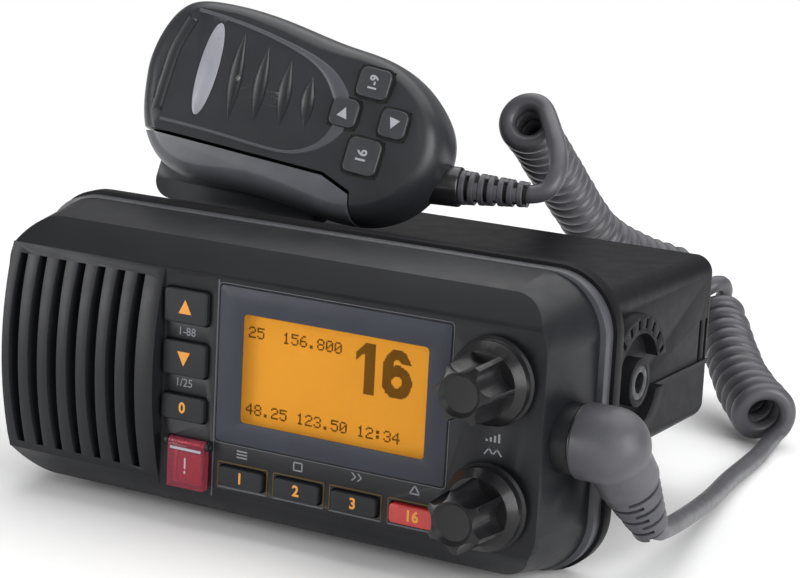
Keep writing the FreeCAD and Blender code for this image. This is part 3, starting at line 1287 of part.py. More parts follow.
def cord():
    """The straight tail, the curly stretch as one fat tube, and the lead to the microphone."""
    coil = [from_panel(point) for point in COIL_POINTS]
    coil_start_aim = (coil[1] - coil[0]).normalize()
    coil_end_aim = (coil[-1] - coil[-2]).normalize()
    down = Vector(0, 0, -1)
    down = (down - coil_end_aim * down.dot(coil_end_aim)).normalize()
    relief_end = ELBOW + LEG_AIM * (S.leg_length + S.relief_length).value
    tail_end = coil[-1] + down * S.coil_turn_radius.value
    tail = [relief_end, relief_end + LEG_AIM * TAIL_FIRST_RUN]
    tail += [from_panel(point) for point in TAIL_POINTS]
    tail += [tail_end + coil_end_aim * TAIL_LAST_RUN, tail_end]
    tube("cord_tail", tail, S.cord_radius.value)
    tube("cord_coil", coil, S.coil_radius.value)
    exit_local, aim_local = cable_exit((S.collar_length + S.mic_relief_length).value)
    exit_point = MIC_FRAME.multVec(exit_local)
    exit_aim = MIC_FRAME.Rotation.multVec(aim_local)
    side = Vector(*LEAD_SIDE)
    side = (side - coil_start_aim * side.dot(coil_start_aim)).normalize()
    room = S.cord_radius.value + LEAD_END_GAP
    lead_end = coil[0] - coil_start_aim * room + side * S.coil_turn_radius.value
    lead = [exit_point, exit_point + exit_aim * LEAD_FIRST_RUN]
    lead += [from_panel(point) for point in LEAD_POINTS] + [lead_end]
    tube("cord_lead", lead, S.cord_radius.value)


# ---------------------------------------------------------------- build and write


def check():
    """Every object computed, and every sub-part a valid shape."""
    failed = [item.Label for item in doc.Objects if {"Invalid", "Error"} & set(item.State)]
    for item in nodes:
        if item.Shape.isNull() or not item.Shape.isValid() or not item.Shape.Solids:
            failed.append(item.Label)
    if failed:
        raise RuntimeError(f"not built: {sorted(set(failed))}")


def main():
    front_bezel()
    display()
    keys()
    keypad_mat()
    board_screws = front_board()
    distress_flap()
    knobs()
    speaker()
    mic_socket()
    gasket_and_holes()
    rear_chassis()
    bracket_inserts()
    board_screws += electronics()
    node(group("board_screws", *board_screws))
    case_screws()
    rear_connectors()
    mic_front_shell()
    mic_rear_shell()
    ptt_button()
    mic_inside()
    mic_outside()
    mic_cable_end()
    plug()
    cord()
    doc.recompute()
    check()
    os.makedirs("parts", exist_ok=True)
    for item in nodes:
        item.Shape.exportStep(f"parts/{item.Label}.step")
    print(len(nodes), "nodes")


main()
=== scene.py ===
import math

import bmesh
import bpy
from mathutils import Matrix, Vector


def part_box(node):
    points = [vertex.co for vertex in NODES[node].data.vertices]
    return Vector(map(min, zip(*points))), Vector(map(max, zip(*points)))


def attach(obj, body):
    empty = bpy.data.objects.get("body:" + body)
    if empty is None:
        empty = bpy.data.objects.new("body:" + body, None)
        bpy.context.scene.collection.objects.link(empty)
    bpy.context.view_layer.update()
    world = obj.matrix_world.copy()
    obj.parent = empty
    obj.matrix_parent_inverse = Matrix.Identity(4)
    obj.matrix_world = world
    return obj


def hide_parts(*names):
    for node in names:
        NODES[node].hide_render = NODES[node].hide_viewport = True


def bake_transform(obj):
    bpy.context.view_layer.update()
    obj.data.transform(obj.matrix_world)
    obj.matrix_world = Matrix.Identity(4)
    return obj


bl_info = {
    "name": "Marine radio",
    "version": (1, 0, 0),
    "blender": (4, 5, 0),
    "location": "3D View > Sidebar > Marine radio",
    "description": "Finishes a fixed-mount marine radio and its hand microphone",
    "category": "Add Mesh",
}

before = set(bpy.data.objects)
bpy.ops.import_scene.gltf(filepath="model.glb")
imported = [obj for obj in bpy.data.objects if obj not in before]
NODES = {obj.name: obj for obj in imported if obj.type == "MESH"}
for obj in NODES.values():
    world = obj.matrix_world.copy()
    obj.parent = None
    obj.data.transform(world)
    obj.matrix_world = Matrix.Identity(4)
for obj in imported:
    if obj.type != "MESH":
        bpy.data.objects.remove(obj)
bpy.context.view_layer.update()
RADIO = "radio"
MICROPHONE = "microphone"

# The radio stands on z = 0. Its panel faces -Y, and the flat of the panel is at PANEL_Y.
PANEL_Y = -0.060
WINDOW_MIDDLE = (0.02255, 0.04885)
WINDOW_SIZE = (0.0717, 0.044)
SCREEN_MIDDLE = (0.0232, 0.0484)
SCREEN_SIZE = (0.0576, 0.0306)

# The microphone's own frame: x along it to the cable, y the depth behind its face, z up it.
MIC_PLACE = Vector((-0.0321, 0.008, 0.113))
MIC_YAW = math.radians(12)
MIC_LEAN = math.radians(-18)
MIC_ROLL = math.radians(8.5)
MIC_FRAME = (
    Matrix.Translation(MIC_PLACE)
    @ Matrix.Rotation(MIC_YAW, 4, "Z")
    @ Matrix.Rotation(MIC_LEAN, 4, "X")
    @ Matrix.Rotation(MIC_ROLL, 4, "Y")
)
CABLE_RISE = math.radians(8)
CABLE_START = Vector((0.038, 0.016, -0.0132))
CABLE_AIM = Vector((math.cos(CABLE_RISE), 0, math.sin(CABLE_RISE)))
COLLAR_LENGTH = 0.013
MIC_RELIEF_LENGTH = 0.0205

# The plug's elbow, and the way its leg points.
ELBOW = Vector((0.100, -0.0472, 0.043))
LEG_AIM = Vector((0.16, 0.57, -0.81)).normalized()
LEG_LENGTH = 0.013
PLUG_RELIEF_LENGTH = 0.019

# The cord's route: control points along the floor, up the coil's middle, and to the microphone.
TAIL_POINTS = [
    (0.1052, -0.0250, 0.0152), (0.1044, -0.0170, 0.0138), (0.1030, -0.0060, 0.0124),
    (0.0994, 0.0142, 0.0095), (0.0947, 0.0408, 0.0064), (0.0888, 0.0700, 0.0042),
    (0.0860, 0.0930, 0.0031), (0.0842, 0.1100, 0.0029), (0.0822, 0.1195, 0.0029),
]
COIL_POINTS = [
    (0.0790, 0.1257, 0.0107), (0.0666, 0.1396, 0.0136), (0.0568, 0.1528, 0.0186),
    (0.0482, 0.1658, 0.0244), (0.0410, 0.1754, 0.0312), (0.0345, 0.1776, 0.0384),
    (0.0280, 0.1710, 0.0440), (0.0224, 0.1577, 0.0481), (0.0179, 0.1416, 0.0541),
    (0.0139, 0.1262, 0.0620), (0.0144, 0.1084, 0.0739), (0.0162, 0.0901, 0.0857),
    (0.0186, 0.0710, 0.0971), (0.0218, 0.0511, 0.1089),
]
LEAD_POINTS = [(0.0344, 0.0458, 0.1058), (0.0386, 0.0408, 0.1006), (0.0406, 0.0360, 0.0954)]
LEAD_SIDE = Vector((0.903, 0.222, 0.367)).normalized()

# The camera.
CAMERA_PLACE = Vector((0.34345, -0.61230, 0.21387))
CAMERA_TURN = math.radians(28.613)
CAMERA_DROP = math.radians(12.197)
CAMERA_ROLL = math.radians(3.057)
CAMERA_LENS = 110.50


# ---------------------------------------------------------------- what a user may change


def size(name, default, description):
    return bpy.props.FloatProperty(name=name, default=default, min=0.0, unit="LENGTH",
                                   precision=5, description=description)


def tint(name, default, description):
    return bpy.props.FloatVectorProperty(name=name, default=default, size=3, min=0.0, max=1.0,
                                         subtype="COLOR", description=description)


class CaseSizes(bpy.types.PropertyGroup):
    edge: size("Case edge", 0.0003, "Rounding of the moulded edges of the front case")
    chassis_edge: size("Chassis edge", 0.0007, "Rounding of the cast edges of the chassis")
    cap_edge: size("Key edge", 0.0007, "Sloped edge of the key caps")
    knob_edge: size("Knob edge", 0.0005, "Rounding of the knobs' ridges")
    # The seam width also sets the painted shadow ring round the window.
    seam: size("Seam width", 0.0005, "Width of the dark seams round the key column and the window")
    # The thin lines are painted light: highlights under the lower keys, along the key column and round the
    # window, and the backlight's glow round the lower keys.
    line: size("Line width", 0.0004, "Width of the thin printed lines")
    print_thick: size("Print thickness", 0.0001, "Height of the printed marks over their face")


class CordSizes(bpy.types.PropertyGroup):
    radius: size("Cord radius", 0.0028, "Radius of the cord itself")
    turn: size("Turn radius", 0.0057, "Radius of the coil at the middle of the cord")
    last_turn: size("Lower end turn", 0.0078, "Radius of the loose turn at the coil's lower end")
    first_turn: size("Upper end turn", 0.0067, "Radius of the turn at the coil's upper end")
    pitch: size("Turn pitch", 0.00585, "Distance from one turn to the next")
    relief_rings: bpy.props.IntProperty(name="Relief rings", default=7, min=3, max=20,
                                        description="Rings of each slotted strain relief")


class MicSizes(bpy.types.PropertyGroup):
    groove: size("Groove width", 0.0046, "Widest part of the pointed grooves in the face")
    groove_depth: size("Groove depth", 0.0015, "Deepest part of the grooves")
    ridge: size("Band end width", 0.0011, "Width of the raised band where it runs out")
    ridge_wide: size("Band width", 0.0050, "Width of the raised band beside the keys")
    ridge_rise: size("Band rise", 0.0004, "Height of the raised band")
    channel: size("Channel width", 0.0040, "Width of the dark channel along the left end of the face")
    rim: size("Key rim", 0.0008, "Width of the dark rim round each key")


class Finishes(bpy.types.PropertyGroup):
    case: tint("Front case", (0.009, 0.0095, 0.012), "Charcoal moulding of the front case")
    chassis: tint("Chassis", (0.010, 0.010, 0.012), "Black paint of the cast chassis")
    knob: tint("Knobs", (0.006, 0.006, 0.007), "Black plastic of the knobs")
    mic: tint("Microphone", (0.022, 0.023, 0.027), "Charcoal shells of the microphone")
    talk: tint("Talk bar", (0.085, 0.088, 0.100), "Grey rubber of the push-to-talk bar")
    cord: tint("Cord", (0.066, 0.066, 0.076), "Grey rubber of the cord and its reliefs")
    gasket: tint("Gasket", (0.052, 0.053, 0.062), "Pale rubber between the case and the chassis")
    screen: tint("Screen", (0.50, 0.21, 0.022), "Amber light of the display")
    # The mark ink also paints the pale highlight line on the flap.
    mark: tint("Marks", (0.34, 0.35, 0.38), "Printed marks on the case")
    legend: tint("Legends", (0.20, 0.21, 0.23), "Printed legends of the front case")
    lit_mark: tint("Lit marks", (0.62, 0.25, 0.025), "Orange marks on the keys")
    red: tint("Red key", (0.45, 0.02, 0.015), "The two red keys")


# ---------------------------------------------------------------- finishes


class Finish:
    """A material's nodes, built up one detail at a time on Object coordinates."""

    def __init__(self, name, colour, rough, metal=0.0, coat=0.0, shine=0.5):
        self.made = bpy.data.materials.new(name)
        self.made.use_nodes = True
        self.tree = self.made.node_tree
        self.shader = self.tree.nodes["Principled BSDF"]
        self.colour = (*colour, 1.0)
        self.rough = rough
        self.set("Base Color", self.colour)
        self.set("Roughness", rough)
        self.set("Metallic", metal)
        self.set("Coat Weight", coat)
        self.set("Specular IOR Level", shine)
        self.bump = None
        self.place = self.add("ShaderNodeTexCoord").outputs["Object"]

    def set(self, socket, value):
        self.shader.inputs[socket].default_value = value
        return self

    def add(self, kind, **values):
        item = self.tree.nodes.new(kind)
        for name, value in values.items():
            setattr(item, name, value)
        return item

    def link(self, source, target):
        self.tree.links.new(source, target)

    def noise(self, scale, detail=2.0, stretch=(1, 1, 1)):
        mapping = self.add("ShaderNodeMapping")
        mapping.inputs["Scale"].default_value = stretch
        self.link(self.place, mapping.inputs["Vector"])
        texture = self.add("ShaderNodeTexNoise")
        texture.inputs["Scale"].default_value = scale
        texture.inputs["Detail"].default_value = detail
        self.link(mapping.outputs["Vector"], texture.inputs["Vector"])
        return texture.outputs["Fac"]

    def spread(self, source, low, high, first=0.3, last=0.7):
        ranged = self.add("ShaderNodeMapRange")
        for socket, value in (("From Min", first), ("From Max", last), ("To Min", low), ("To Max", high)):
            ranged.inputs[socket].default_value = value
        self.link(source, ranged.inputs["Value"])
        return ranged.outputs["Result"]

    def mottle(self, scale, share, other=None):
        """Lets the colour drift towards another, or lighter and darker."""
        other = other or tuple(channel * (1 + share) for channel in self.colour[:3])
        darker = tuple(channel * (1 - share) for channel in self.colour[:3])
        mix = self.add("ShaderNodeMix", data_type="RGBA")
        mix.inputs["A"].default_value = (*darker, 1.0)
        mix.inputs["B"].default_value = (*other, 1.0)
        self.link(self.spread(self.noise(scale, 4.0), 0.0, 1.0), mix.inputs["Factor"])
        self.link(mix.outputs["Result"], self.shader.inputs["Base Color"])
        return self

    def sheen_change(self, scale, share):
        """Lets the roughness vary, as handling and moulding leave it."""
        source = self.spread(self.noise(scale, 3.0), self.rough * (1 - share), self.rough * (1 + share))
        self.link(source, self.shader.inputs["Roughness"])
        return self

    def grain(self, scale, depth, strength=0.5, stretch=(1, 1, 1), detail=2.0):
        """Adds a relief. Several may follow one another."""
        return self.relief(self.noise(scale, detail, stretch), depth, strength)

    def relief(self, source, depth, strength):
        bump = self.add("ShaderNodeBump")
        bump.inputs["Strength"].default_value = strength
        bump.inputs["Distance"].default_value = depth
        self.link(source, bump.inputs["Height"])
        if self.bump:
            self.link(self.bump, bump.inputs["Normal"])
        self.bump = bump.outputs["Normal"]
        self.link(self.bump, self.shader.inputs["Normal"])
        return self

    def glow(self, colour, strength):
        self.set("Emission Color", (*colour, 1.0))
        return self.set("Emission Strength", strength)


def case_plastic(name, colour, rough=0.42, shine=0.5):
    finish = Finish(name, colour, rough, shine=shine)
    finish.mottle(55, 0.10).sheen_change(140, 0.12)
    return finish.grain(2600, 0.00004, 0.35).grain(420, 0.00005, 0.12).made


def gloss_plastic(name, colour, rough=0.22, coat=0.3, shine=0.5):
    finish = Finish(name, colour, rough, coat=coat, shine=shine)
    finish.mottle(80, 0.12).sheen_change(300, 0.25)
    return finish.grain(900, 0.00003, 0.15).made


def cast_paint(name, colour):
    finish = Finish(name, colour, 0.42, shine=0.05)
    finish.mottle(35, 0.05).sheen_change(200, 0.08)
    return finish.grain(700, 0.00006, 0.25).grain(3000, 0.00002, 0.2).made


def soft_rubber(name, colour, rough=0.55):
    finish = Finish(name, colour, rough)
    finish.mottle(120, 0.12).sheen_change(260, 0.15)
    return finish.grain(1800, 0.00004, 0.3).made


def bright_metal(name, colour, rough=0.28):
    finish = Finish(name, colour, rough, metal=1.0)
    finish.mottle(200, 0.08).sheen_change(400, 0.3)
    return finish.grain(1500, 0.00002, 0.2, stretch=(1, 8, 1)).made


def circuit_board(name):
    finish = Finish(name, (0.010, 0.060, 0.028), 0.35, coat=0.4)
    finish.mottle(900, 0.35, (0.03, 0.11, 0.05))
    return finish.grain(1200, 0.00004, 0.3, stretch=(6, 1, 1)).made


def paper(name):
    finish = Finish(name, (0.02, 0.02, 0.021), 0.85)
    finish.mottle(300, 0.3)
    return finish.grain(1500, 0.00008, 0.6).made


def woven_cloth(name):
    """Fine black mesh: two crossed waves, in X and in Z."""
    finish = Finish(name, (0.006, 0.006, 0.007), 0.9)
    for direction in ("X", "Z"):
        wave = finish.add("ShaderNodeTexWave", bands_direction=direction)
        wave.inputs["Scale"].default_value = 600
        finish.link(finish.place, wave.inputs["Vector"])
        finish.relief(wave.outputs["Fac"], 0.00015, 0.8)
    return finish.made


def clear_plastic(name, colour, rough, clear, index=1.2):
    finish = Finish(name, colour, rough)
    finish.set("Transmission Weight", clear)
    finish.set("IOR", index)
    return finish.sheen_change(200, 0.3).grain(400, 0.00001, 0.1).made


def lit_screen(name, colour):
    """Glass with an even light behind it."""
    finish = Finish(name, colour, 0.5, shine=0.0)
    finish.mottle(30, 0.05).glow(colour, 0.50)
    return finish.grain(1800, 0.00001, 0.1).made


def print_ink(name, colour, rough=0.5, shine=0.25):
    finish = Finish(name, colour, rough, shine=shine)
    finish.mottle(700, 0.06)
    return finish.grain(2000, 0.00002, 0.2).made


def lit_ink(name, colour):
    finish = Finish(name, colour, 0.5)
    finish.mottle(500, 0.05).glow(colour, 0.12)
    return finish.grain(2000, 0.00002, 0.2).made


MATERIALS = {}


def mix_finishes(tints):
    """Every finish of the radio, by the name of its piece or slot."""
    MATERIALS.update({
        "case": case_plastic("Charcoal moulding plastic", tints.case, 0.40, 0.28),
        "chassis": cast_paint("Chassis paint", tints.chassis),
        "knob": gloss_plastic("Knob plastic", tints.knob, 0.34, 0.1, 0.3),
        "key": case_plastic("Key rubber", (0.014, 0.015, 0.018), 0.5, 0.25),
        "red": gloss_plastic("Red key plastic", tints.red, 0.3),
        "flap": clear_plastic("Flap plastic", (0.66, 0.14, 0.20), 0.12, 0.8),
        "pane": clear_plastic("Window pane", (1.0, 1.0, 1.0), 0.03, 1.0, 1.05),
        # Window border: its own printed slate tone, partly lightened with painted reflection of the glass.
        "border": case_plastic("Window border with painted reflection", (0.034, 0.037, 0.049), 0.35, 0.2),
        "screen": lit_screen("Screen light", tints.screen),
        "pixel": print_ink("Screen picture", (0.17, 0.072, 0.010), 0.5, 0.0),
        # Painted glow: dark amber ink for the backlight leaking round the lower keys.
        "outline": print_ink("Painted backlight glow", (0.085, 0.055, 0.016)),
        # Painted highlight: the pale lines under the lower keys, along the key column's right edge and round
        # the window.
        "line": print_ink("Painted highlight line", (0.10, 0.105, 0.12)),
        "legend": print_ink("Legend ink", tints.legend),
        "guide": lit_screen("Light guide", (0.8, 0.6, 0.4)),
        "gasket": soft_rubber("Gasket rubber", tints.gasket, 0.45),
        "mic": case_plastic("Microphone plastic", tints.mic, 0.36, 0.4),
        "band": case_plastic("Microphone band", (0.065, 0.067, 0.077), 0.4, 0.4),
        "mic_key": soft_rubber("Microphone key rubber", (0.034, 0.035, 0.040), 0.4),
        # Dark seams, and the painted shadow round the window.
        "dark": soft_rubber("Dark seam and painted shadow", (0.001, 0.001, 0.001), 0.8),
        "talk": soft_rubber("Talk bar rubber", tints.talk, 0.38),
        "plate": gloss_plastic("Name plate blank", (0.27, 0.275, 0.31), 0.35),
        "cord": soft_rubber("Cord rubber", tints.cord, 0.36),
        "relief": soft_rubber("Relief rubber", tints.cord, 0.45),
        "collar": gloss_plastic("Collar plastic", (0.012, 0.012, 0.014), 0.3),
        "dull": bright_metal("Dull insert metal", (0.085, 0.087, 0.092), 0.45),
        "steel": bright_metal("Zinc steel", (0.55, 0.55, 0.56)),
        "brass": bright_metal("Nickel brass", (0.60, 0.55, 0.42), 0.22),
        "can": bright_metal("Tinned shield", (0.52, 0.53, 0.52), 0.35),
        "board": circuit_board("Board lacquer"),
        "paper": paper("Speaker paper"),
        "cloth": woven_cloth("Speaker cloth"),
        "mark": print_ink("Mark ink and painted highlight", tints.mark),
        "lit_mark": lit_ink("Lit mark", tints.lit_mark),
    })


# ---------------------------------------------------------------- ways to make a piece


def plain_mesh(item):
    """The item's mesh with its modifiers in it, and no modifiers left."""
    graph = bpy.context.evaluated_depsgraph_get()
    bpy.context.view_layer.update()
    made = bpy.data.meshes.new_from_object(item.evaluated_get(graph))
    item.modifiers.clear()
    item.data = made
    return item


def new_item(name, mesh):
    item = bpy.data.objects.new(name, mesh)
    bpy.context.scene.collection.objects.link(item)
    return item


def give(item, material, body):
    """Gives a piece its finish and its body."""
    if isinstance(material, str):
        item.data.materials.clear()
        item.data.materials.append(MATERIALS[material])
    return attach(item, body)


def smooth(item, angle=35):
    item.data.shade_smooth()
    item.data.set_sharp_from_angle(angle=math.radians(angle))
    return item


def merged_copy(node, name):
    """A welded copy of a node's mesh, to be worked on."""
    mesh = NODES[node].data.copy()
    mesh.materials.clear()
    shape = bmesh.new()
    shape.from_mesh(mesh)
    bmesh.ops.remove_doubles(shape, verts=shape.verts, dist=2e-6)
    bmesh.ops.dissolve_limit(shape, angle_limit=math.radians(0.6), verts=shape.verts, edges=shape.edges)
    shape.to_mesh(mesh)
    shape.free()
    return new_item(name, mesh)


def soft_edged(node, name, material, body, edge, angle=32, segments=2):
    """A node's shape with its edges rounded, standing for the node."""
    item = merged_copy(node, name)
    if edge:
        rounding = item.modifiers.new("edges", "BEVEL")
        rounding.width = edge
        rounding.segments = segments
        rounding.limit_method = "ANGLE"
        rounding.angle_limit = math.radians(angle)
        rounding.use_clamp_overlap = True
        rounding.miter_outer = "MITER_ARC"
        plain_mesh(item)
    smooth(item)
    give(item, material, body)
    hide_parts(node)
    return item


def keep(material, slot, *names):
    """CAD nodes that are right as they are, with their finish."""
    for name in names:
        mesh = NODES[name].data
        mesh.materials.clear()
        mesh.materials.append(MATERIALS[material])


def solid_from(name, rings, close=True):
    """A closed skin over rings of points, capped at both ends."""
    shape = bmesh.new()
    loops = [[shape.verts.new(point) for point in ring] for ring in rings]
    count = len(loops[0])
    for lower, upper in zip(loops, loops[1:]):
        for index in range(count):
            following = (index + 1) % count
            shape.faces.new((lower[index], lower[following], upper[following], upper[index]))
    if close:
        shape.faces.new(reversed(loops[0]))
        shape.faces.new(loops[-1])
    bmesh.ops.recalc_face_normals(shape, faces=shape.faces)
    mesh = bpy.data.meshes.new(name)
    shape.to_mesh(mesh)
    shape.free()
    return new_item(name, mesh)


def plate(name, outline, thick, place):
    """A flat plate: its outline in two directions, pushed along the third of place."""
    front = [place @ Vector((x, -thick, z)) for x, z in outline]
    back = [place @ Vector((x, 0, z)) for x, z in outline]
    return solid_from(name, [back, front])


def joined(name, items):
    """One piece from several that share a body."""
    shape = bmesh.new()
    for item in items:
        shape.from_mesh(item.data)
        bpy.data.objects.remove(item)
    mesh = bpy.data.meshes.new(name)
    shape.to_mesh(mesh)
    shape.free()
    return new_item(name, mesh)


def round_box(width, height, corner, steps=5):
    """The outline of a rectangle with round corners."""
    points = []
    for turn, (side_x, side_z) in enumerate(((1, -1), (1, 1), (-1, 1), (-1, -1))):
        middle = Vector((side_x * (width / 2 - corner), side_z * (height / 2 - corner)))
        for step in range(steps + 1):
            angle = math.radians(-90 + 90 * turn + 90 * step / steps)
            points.append((middle.x + corner * math.cos(angle), middle.y + corner * math.sin(angle)))
    return points


def ring_band(name, outer, inner, thick, place):
    """A flat frame between two outlines of as many points."""
    rings = []
    for outline, depth in ((inner, 0), (outer, 0), (outer, -thick), (inner, -thick), (inner, 0)):
        rings.append([place @ Vector((x, depth, z)) for x, z in outline])
    return welded(solid_from(name, rings, close=False))


def welded(item):
    """The item with its doubled points merged and its faces turned outwards."""
    shape = bmesh.new()
    shape.from_mesh(item.data)
    bmesh.ops.remove_doubles(shape, verts=shape.verts, dist=1e-7)
    bmesh.ops.recalc_face_normals(shape, faces=shape.faces)
    shape.to_mesh(item.data)
    shape.free()
    return item


def on_panel(x, z, rise=0.0):
    """The frame of a mark on the panel: x to the right and z up, at a height over it."""
    return Matrix.Translation((x, PANEL_Y - rise, z))


def on_mic(x, z, depth=0.0, turn=0.0):
    return MIC_FRAME @ Matrix.Translation((x, depth, z)) @ Matrix.Rotation(turn, 4, "Y")


def spline_mesh(points, steps, radius=0.0):
    """The mesh of a NURBS spline of order 3: a bare line, or a round bar of this radius."""
    curve = bpy.data.curves.new("route", "CURVE")
    curve.dimensions = "3D"
    curve.resolution_u = steps
    if radius:
        curve.bevel_depth = radius
        curve.bevel_resolution = 4
        curve.use_fill_caps = True
    spline = curve.splines.new("NURBS")
    spline.points.add(len(points) - 1)
    for target, point in zip(spline.points, points):
        target.co = (*point, 1.0)
    spline.order_u = 3
    spline.use_endpoint_u = True
    item = new_item("route", curve)
    bpy.context.view_layer.update()
    mesh = bpy.data.meshes.new_from_object(item)
    bpy.data.objects.remove(item)
    bpy.data.curves.remove(curve)
    return mesh


def spline_points(points, steps):
    """Points along a spline that has these control points."""
    mesh = spline_mesh(points, steps)
    found = [vertex.co.copy() for vertex in mesh.vertices]
    bpy.data.meshes.remove(mesh)
    return found


def swept(name, path, section):
    """A skin over a section that follows a path. section(share) gives half width, half height."""
    rings = []
    last = len(path) - 1
    sides = 12
    normal = (MIC_FRAME.to_3x3() @ Vector((0, -1, 0))).normalized()
    for index, point in enumerate(path):
        along = (path[min(index + 1, last)] - path[max(index - 1, 0)]).normalized()
        across = along.cross(normal).normalized()
        half_w, half_h = section(index / last)
        rings.append([
            point + across * half_w * math.cos(math.tau * side / sides)
            + normal * half_h * math.sin(math.tau * side / sides)
            for side in range(sides)
        ])
    return smooth(welded(solid_from(name, rings)), 60)


# ---------------------------------------------------------------- geometry nodes


def tree_with(name, sockets):
    """An empty tree with its named inputs, and a function that adds nodes to it."""
    tree = bpy.data.node_groups.new(name, "GeometryNodeTree")
    tree.interface.new_socket("Geometry", in_out="OUTPUT", socket_type="NodeSocketGeometry")
    for socket, kind in sockets:
        tree.interface.new_socket(socket, in_out="INPUT", socket_type=kind)

    def add(kind, inputs=None, **values):
        item = tree.nodes.new(kind)
        for key, value in values.items():
            setattr(item, key, value)
        for socket, value in (inputs or {}).items():
            target = item.inputs[socket]
            if isinstance(value, bpy.types.NodeSocket):
                tree.links.new(value, target)
            else:
                target.default_value = value
        return item

    return tree, add


def run_tree(item, tree, values):
    """Puts a tree on an item with its inputs set, and keeps the result as a plain mesh."""
    modifier = item.modifiers.new(tree.name, "NODES")
    modifier.node_group = tree
    for socket in tree.interface.items_tree:
        if socket.in_out == "INPUT" and socket.name in values:
            modifier[socket.identifier] = values[socket.name]
    return plain_mesh(item)


def relief_tree():
    """Rings along a tapering sleeve, each turned a quarter from the one before."""
    tree, add = tree_with("Relief rings", [
        ("Rings", "NodeSocketInt"), ("Length", "NodeSocketFloat"), ("First radius", "NodeSocketFloat"),
        ("Last radius", "NodeSocketFloat"), ("Ring", "NodeSocketObject"), ("Finish", "NodeSocketMaterial"),
    ])
    given = add("NodeGroupInput").outputs
    steps = add("ShaderNodeMath", {0: given["Rings"], 1: 1.0}, operation="SUBTRACT").outputs[0]
    step = add("ShaderNodeMath", {0: given["Length"], 1: given["Rings"]}, operation="DIVIDE").outputs[0]
    offset = add("ShaderNodeCombineXYZ", {"Z": step}).outputs[0]
    line = add("GeometryNodeMeshLine", {"Count": given["Rings"], "Offset": offset}).outputs[0]
    index = add("GeometryNodeInputIndex").outputs[0]
    share = add("ShaderNodeMath", {0: index, 1: steps}, operation="DIVIDE").outputs[0]
    radius = add("ShaderNodeMapRange", {
        "Value": share, "To Min": given["First radius"], "To Max": given["Last radius"],
    }).outputs["Result"]
    scale = add("ShaderNodeCombineXYZ", {"X": radius, "Y": radius, "Z": step}).outputs[0]
    quarter = add("ShaderNodeMath", {0: index, 1: math.pi / 2}, operation="MULTIPLY").outputs[0]
    turn = add("ShaderNodeCombineXYZ", {"Z": quarter}).outputs[0]
    ring = add("GeometryNodeObjectInfo", {"Object": given["Ring"]}).outputs["Geometry"]
    placed = add("GeometryNodeInstanceOnPoints", {
        "Points": line, "Instance": ring, "Rotation": turn, "Scale": scale,
    }).outputs[0]
    real = add("GeometryNodeRealizeInstances", {"Geometry": placed}).outputs[0]
    done = add("GeometryNodeSetMaterial", {"Geometry": real, "Material": given["Finish"]}).outputs[0]
    add("NodeGroupOutput", {"Geometry": done})
    return tree


def relief_ring():
    """One ring of a relief, of radius 1 and height 1: a rounded disc with a bridge each side."""
    profile = [(0.50, 0.0), (0.94, 0.0), (1.0, 0.08), (1.0, 0.50), (0.94, 0.58), (0.50, 0.58)]
    sides = 28
    shape = bmesh.new()
    loops = []
    for side in range(sides):
        angle = math.tau * side / sides
        loops.append([
            shape.verts.new((radius * math.cos(angle), radius * math.sin(angle), height))
            for radius, height in profile
        ])
    for side in range(sides):
        here, there = loops[side], loops[(side + 1) % sides]
        for index in range(len(profile)):
            following = (index + 1) % len(profile)
            shape.faces.new((here[index], there[index], there[following], here[following]))
    for start in (0.0, math.pi):
        sector = []
        for step in range(7):
            angle = start + math.radians(-32 + 64 * step / 6)
            sector.append((math.cos(angle), math.sin(angle)))
        low, high = 0.56, 1.02
        rings = []
        for radius, height in ((0.5, low), (0.97, low), (0.97, high), (0.5, high)):
            rings.append([shape.verts.new((x * radius, y * radius, height)) for x, y in sector])
        for index in range(4):
            first, second = rings[index], rings[(index + 1) % 4]
            for step in range(6):
                shape.faces.new((first[step], first[step + 1], second[step + 1], second[step]))
        shape.faces.new([ring[0] for ring in rings])
        shape.faces.new([ring[-1] for ring in reversed(rings)])
    bmesh.ops.recalc_face_normals(shape, faces=shape.faces)
    mesh = bpy.data.meshes.new("relief_ring")
    shape.to_mesh(mesh)
    shape.free()
    return new_item("relief_ring", mesh)


def picture_tree():
    """A small square block on every point of the host mesh."""
    tree, add = tree_with("Picture dots", [
        ("Geometry", "NodeSocketGeometry"), ("Dot width", "NodeSocketFloat"),
        ("Dot thickness", "NodeSocketFloat"), ("Finish", "NodeSocketMaterial"),
    ])
    given = add("NodeGroupInput").outputs
    sides = add("ShaderNodeCombineXYZ", {
        "X": given["Dot width"], "Y": given["Dot thickness"], "Z": given["Dot width"],
    }).outputs[0]
    dot = add("GeometryNodeMeshCube", {"Size": sides}).outputs["Mesh"]
    placed = add("GeometryNodeInstanceOnPoints", {"Points": given["Geometry"], "Instance": dot}).outputs[0]
    real = add("GeometryNodeRealizeInstances", {"Geometry": placed}).outputs[0]
    done = add("GeometryNodeSetMaterial", {"Geometry": real, "Material": given["Finish"]}).outputs[0]
    add("NodeGroupOutput", {"Geometry": done})
    return tree


# ---------------------------------------------------------------- marks


def triangle(width, height, up=True):
    tip = height / 2 if up else -height / 2
    outline = [(-width / 2, -tip), (width / 2, -tip), (0.0, tip)]
    return outline if up else outline[::-1]


def bar(width, height, x=0.0, z=0.0):
    half_w, half_h = width / 2, height / 2
    left, right, foot, top = x - half_w, x + half_w, z - half_h, z + half_h
    return [(left, foot), (right, foot), (right, top), (left, top)]


def stroke(start, end, width):
    """A straight line of this width between two points."""
    start, end = Vector(start), Vector(end)
    along = (end - start).normalized() * width / 2
    across = Vector((-along.y, along.x))
    start, end = start - along, end + along
    return [tuple(point) for point in (start - across, end - across, end + across, start + across)]


